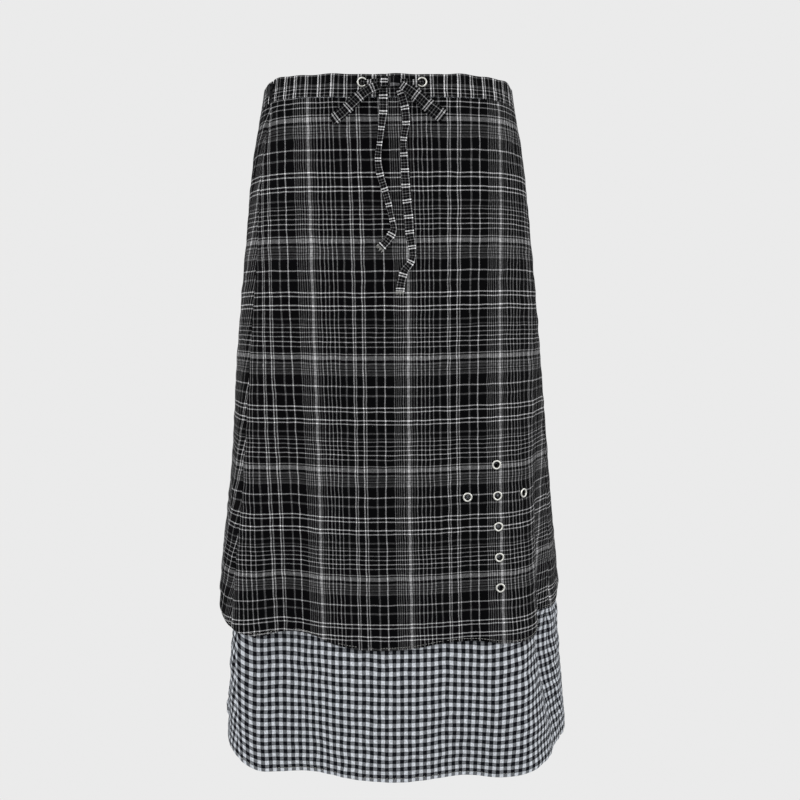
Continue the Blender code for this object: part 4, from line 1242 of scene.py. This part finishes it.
def makeLoop(name, table, nodeName, shift):
    # out behind and home in front, the gap between closing as sqrt(1 - t^6) at the tip
    rows = np.array(table).T
    share = np.linspace(0, 1, tape["shortSteps"])
    at = np.linspace(0, 1, len(rows[0]))
    side, height, width = (throughRows(share, at, row) for row in rows)
    middle = (loop["back"] + loop["front"]) / 2
    half = (loop["front"] - loop["back"]) / 2
    opening = loop["neck"] + (1 - loop["neck"]) * ramp(share, 0, loop["neckEnd"])
    apart = half * np.sqrt(np.clip(1 - share ** loop["tipPower"], 0, 1)) * opening
    out = [frontPoint(x, z, middle - h) for x, z, h in zip(side, height, apart)]
    home = [frontPoint(x, z, middle + h) for x, z, h in zip(side[-2::-1], height[-2::-1], apart[-2::-1])]
    centres = np.array(out + home)
    widths = np.concatenate([width, width[-2::-1]])
    run = np.array([side[-1] - side[0], 0.0, height[-1] - height[0]])
    across = np.broadcast_to(unit(np.cross(run, np.array([0.0, -1.0, 0.0]))), centres.shape)
    thicks = np.full_like(widths, tape["thickness"])
    # the loop is coloured with the dimmed copy of the tape finish, painted shade
    made = tapePiece(name, centres, across, widths, thicks, loopPaintedShadeFinish, loop["curl"], shift)
    addPiece(made, "tie_tape", nodeName)


def makeStrand(side, end):
    share, stand, width, thickness = np.array(strand).T
    matrix = np.array(bandFrames[side])
    start, outOfEyelet = matrix[:3, 3], matrix[:3, 2]
    out = outOfEyelet * (1 - share[:, None]) + np.array([0.0, -1.0, 0.0]) * share[:, None]
    marks = start + (end - start) * share[:, None] + out * stand[:, None]
    length, at, centres = smoothLine(marks, tape["shortSteps"])
    across = np.broadcast_to(np.array([0.0, 0.0, 1.0]), centres.shape)
    widths, thicks = throughRows(at, length, width), throughRows(at, length, thickness)
    name = "tieStrand" + side.title()
    made = tapePiece(name, centres, across, widths, thicks, tapeFinish, 0.0, printShift["strand"])
    addPiece(made, "tie_tape", "tie_strand_" + side)


def makeKnot():
    # a squared ball, |p|^0.72 on each axis, less a groove depth exp(-(d / w)^2) beside each wrap
    turn, rise = np.meshgrid(circle(knot["turns"]), np.linspace(-knot["pole"], knot["pole"], knot["rings"]))
    ball = np.stack([np.cos(rise) * np.cos(turn), np.cos(rise) * np.sin(turn), np.sin(rise)], -1)
    square = np.sign(ball) * np.abs(ball) ** knot["power"]
    over, up = square[..., 0], square[..., 2]
    height, turnsUp, turnsAcross = knot["ripple"]
    swell = 1 - height * np.sin(turnsUp * up + turnsAcross * over)
    for depth, place, slant, halfWidth in knot["wraps"]:
        swell = swell - depth * bump(over - place - slant * up, halfWidth)
    reach = square * np.array(knot["size"]) / 2 * swell[..., None]
    points = frontPoint(*knot["centre"], knot["stand"]) + reach
    # the print runs down the left wrap, and the right one shows a stretch with few stripes
    left = 1 - ramp(over, *knot["wrapEdge"])
    leftAlong, rightAlong = (middle + rise * up for middle, rise in (knot["leftPrint"], knot["rightPrint"]))
    across = over * knot["printWidth"] + knot["printAside"] * left
    uv = np.stack([across, leftAlong * left + rightAlong * (1 - left)], -1).reshape(-1, 2)
    faces = [face[::-1] for face in tubeFaces(knot["rings"], knot["turns"])]
    made = meshObject("tieKnot", points.reshape(-1, 3), faces, [tapeFinish], uv, sharp=180)
    addPiece(made, "tie_tape", "tie_knot")


makeTail("tieTailLeft", leftTail, "tie_tail_left", printShift["leftTail"])
makeTail("tieTailRight", rightTail, "tie_tail_right", printShift["rightTail"])
makeLoop("tieLoopLeft", leftLoop, "tie_loop_left", printShift["leftLoop"])
makeLoop("tieLoopRight", rightLoop, "tie_loop_right", printShift["rightLoop"])
knotReach = knot["size"][0] / 2 + seamGap
makeStrand("left", frontPoint(knot["centre"][0] - knotReach, knot["centre"][1], 0))
makeStrand("right", frontPoint(knot["centre"][0] + knotReach, knot["centre"][1], 0))
makeKnot()
print("tie")

# Zip: tape behind both skirts, coil teeth in the waistband's slit, a slider with two lugs, and its pull

zipper = {
    "tapeWidth": 20.0, "tapeCloth": 0.9, "clear": 0.9, "top": -24.0, "end": 165.0, "cordAt": 2.6,
    "teethWidth": 3.8, "teethTop": -23.0, "teethEnd": -1.0, "coilDepth": 1.4, "stripDepth": 1.9,
    "coil": 1.0, "teeth": 18, "toothNear": 1.75, "toothFar": 0.75, "cordWidth": 0.7, "cordShare": 0.45,
    "tapeGrid": (70, 41), "stripGrid": (20, 7), "toothSides": 10, "toothRings": 7,
}
slider = {
    "length": 7.0, "halfWidth": 1.85, "shoulder": 0.25, "hinge": (0, 1.6, 2.9), "lugs": (1.5, 1.95),
    "lugRadius": 0.8, "lugFoot": (0.3, 2.9, 0.9), "pin": (1.38, 1.6, 0.42), "edge": 0.08, "edgeShare": 0.94,
    "steps": 40, "lugSteps": 13,
    "levels": (  # height, share of the outline: two plates with the tape's groove between
        (1.2, 0.86), (1.1, 0.95), (0.85, 1), (0.4, 1), (0.34, 0.93), (0.16, 0.93), (0.1, 1), (-0.35, 1),
        (-0.5, 0.92),
    ),
}
pullTab = {
    "neck": 1.3, "wide": 2.5, "low": 11.2, "slotNeck": 0.6, "slotWide": 1.1, "slotTop": -8.2, "slotLow": 3.0,
    "half": 0.5, "edge": 0.15, "points": 20,
}


def zipStrip(width, top, bottom, outer, inner, grid):
    # a grid along the seam, on the overskirt's face moved in by outer and by inner
    rows, columns = grid
    half = halfGap(width)
    drop = np.linspace(top, bottom, rows)[:, None]
    place = leftSeamAt(drop) + np.linspace(-half, half, columns)
    drop = np.broadcast_to(drop, place.shape)
    across = np.broadcast_to(np.linspace(-width / 2, width / 2, columns), place.shape)
    depths = outer(place, drop, across), inner(place, drop, across)
    sides = [overskirtFace(place, drop, depth).reshape(3, -1) for depth in depths]
    return np.concatenate(sides, axis=1).T, wallFaces(*place.shape)


def tapeDepth(place, drop, across):
    layersDeep = np.where(drop < 0, 0.0, layerSpace(place, np.maximum(drop, 0)) + solidCloth)
    return np.maximum(layersDeep, bandCloth) + zipper["clear"]


def tapeBackDepth(place, drop, across):
    # thicker over a cord woven in at each side of the coil
    cord = bump(np.abs(across) - zipper["cordAt"], zipper["cordWidth"])
    thickness = zipper["tapeCloth"] * (1 - zipper["cordShare"] * (1 - cord))
    return tapeDepth(place, drop, across) + thickness


def steadyDepth(depth):
    return lambda place, drop, across: np.full_like(across, depth)


def makeZipTape():
    z = zipper
    points, faces = zipStrip(z["tapeWidth"], z["top"], z["end"], tapeDepth, tapeBackDepth, z["tapeGrid"])
    addPiece(meshObject("zipTape", points, faces, [zipTapeFinish]), "zip_black", "zip_tape")


def makeZipTeeth():
    # teeth from the left and the right by turns, each past the middle, on a woven strip
    z = zipper
    front, back = steadyDepth(z["stripDepth"]), steadyDepth(bandCloth + z["clear"] - seamGap)
    strip = zipStrip(z["teethWidth"], z["teethTop"], z["teethEnd"], front, back, z["stripGrid"])
    drop = np.linspace(z["teethTop"] + 0.7, z["teethEnd"] - 0.7, z["teeth"])
    side = np.where(np.arange(z["teeth"]) % 2, 1, -1) * halfGap(2)
    middle = leftSeamAt(drop)
    start = overskirtFace(middle - z["toothNear"] * side, drop, z["coilDepth"]).T
    end = overskirtFace(middle + z["toothFar"] * side, drop, z["coilDepth"]).T
    teeth = spindles(start, end, z["coil"], sides=z["toothSides"], rings=z["toothRings"])
    points, faces = joined([strip, teeth])
    made = meshObject("zipTeeth", points, faces, [zipTapeFinish])
    addPiece(made, "zip_black", "zip_teeth")


def loft(outline, levels):
    # the outline scaled about its middle by each level's share, from the top level down
    middle = outline.mean(0)
    rings = [
        np.column_stack([middle + (outline - middle) * share, np.full(len(outline), height)])
        for height, share in levels
    ]
    return np.concatenate(rings), tubeFaces(len(levels), len(outline))


def makeSlider(matrix):
    # plates x = w |cos t|^0.5, y = l / 2 |sin t|^0.5, wider at the shoulders; lugs round over the hinge's pin
    turn = circle(slider["steps"])
    y = np.sign(np.sin(turn)) * np.abs(np.sin(turn)) ** 0.5
    x = np.sign(np.cos(turn)) * np.abs(np.cos(turn)) ** 0.5 * (slider["halfWidth"] + slider["shoulder"] * y)
    parts = [loft(np.column_stack([x, y * slider["length"] / 2]), slider["levels"])]
    hingeAt = np.array(slider["hinge"][1:])
    lowY, highY, foot = slider["lugFoot"]
    over = np.linspace(0, math.pi, slider["lugSteps"])
    dome = hingeAt + slider["lugRadius"] * np.column_stack([np.cos(over), np.sin(over)])
    lug = np.concatenate([[(highY, foot)], dome, [(lowY, foot)]])
    edge, share = slider["edge"], slider["edgeShare"]
    pinNear, pinFar, pinRadius = slider["pin"]
    pin = hingeAt + pinRadius * np.column_stack([np.cos(turn[::2]), np.sin(turn[::2])])
    for shape, near, far in ((lug, *slider["lugs"]), (pin, pinNear, pinFar)):
        for low, high in ((near, far), (-far, -near)):
            levels = ((high, share), (high - edge, 1), (low + edge, 1), (low, share))
            points, faces = loft(shape, levels)
            parts.append((points[:, [2, 0, 1]], faces))
    points, faces = joined(parts)
    made = meshObject("zipSlider", inFrame(matrix, points), faces, [zipMetalFinish], sharp=40)
    addPiece(made, "zip_black", "zip_slider")


def dropOutline(neck, wide, low, count):
    # a half circle of the neck's radius at the top and one of the wide radius at the foot, anticlockwise
    over = np.linspace(0.5, -0.5, count) * math.pi
    under = np.linspace(1.5, 0.5, count) * math.pi
    top = np.column_stack([neck * np.sin(over), neck * np.cos(over)])
    return np.concatenate([top, np.column_stack([wide * np.sin(under), wide * np.cos(under) - low])])


def makePull(matrix):
    # a flat drop with a slot through its foot: rings over the edge, across the face, and through the slot
    p = pullTab
    outer = dropOutline(p["neck"], p["wide"], p["low"], p["points"])
    inner = dropOutline(p["slotNeck"], p["slotWide"], p["slotLow"], p["points"]) + (0, p["slotTop"])
    inset = dropOutline(p["neck"] - p["edge"], p["wide"] - p["edge"], p["low"], p["points"])
    rows = (
        (inset, p["half"]), (outer, p["half"] - p["edge"]), (outer, p["edge"] - p["half"]),
        (inset, -p["half"]), (inner, -p["half"]), (inner, p["half"]),
    )
    rings = [np.column_stack([line, np.full(len(line), height)]) for line, height in rows]
    index = np.arange(len(rings) * len(outer)).reshape(len(rings), -1)
    down = np.roll(index, -1, axis=0)
    faces = np.stack([index, down, np.roll(down, -1, axis=1), np.roll(index, -1, axis=1)], -1).reshape(-1, 4)
    placed = matrix @ Matrix.Translation(Vector(slider["hinge"]))
    made = meshObject("zipPull", inFrame(placed, np.concatenate(rings)), faces, [zipMetalFinish], sharp=40)
    addPiece(made, "zip_black", "zip_pull", body="pull_tab")


makeZipTape()
makeZipTeeth()
sliderDrop = zipper["teethTop"] + slider["length"] / 2
sliderFrame = frameOn(leftSeamAt(sliderDrop), sliderDrop)
makeSlider(sliderFrame)
makePull(sliderFrame)
print("zip")

# Sewing

stitch = {"length": 2.6, "gap": 0.8, "thickness": 0.42, "proud": 0.1}
hemStitches = {  # distance up from the hem, girth there
    "overskirt": (3.4, 1250),
    "underskirt": (5.0, 1310),
}


def stitchHem(name, up, girth):
    # spindles end to end all round, with a gap between each two
    cut = cuts[name]

    def pointsAt(share):
        place = between(share * 2, 0)
        return cut["face"](place, hemDrop(place, cut["length"], cut["hem"]) - up, -stitch["proud"]).T

    pitch = stitch["length"] + stitch["gap"]
    count = round(girth / pitch)
    start = np.arange(count) / count
    end = start + stitch["length"] / pitch / count
    points, faces = spindles(pointsAt(start), pointsAt(end), stitch["thickness"])
    addPiece(meshObject(name + "HemStitches", points, faces, [paleThread], sharp=180), cut["slot"])


for name, (up, girth) in hemStitches.items():
    stitchHem(name, up, girth)
print("sewing")
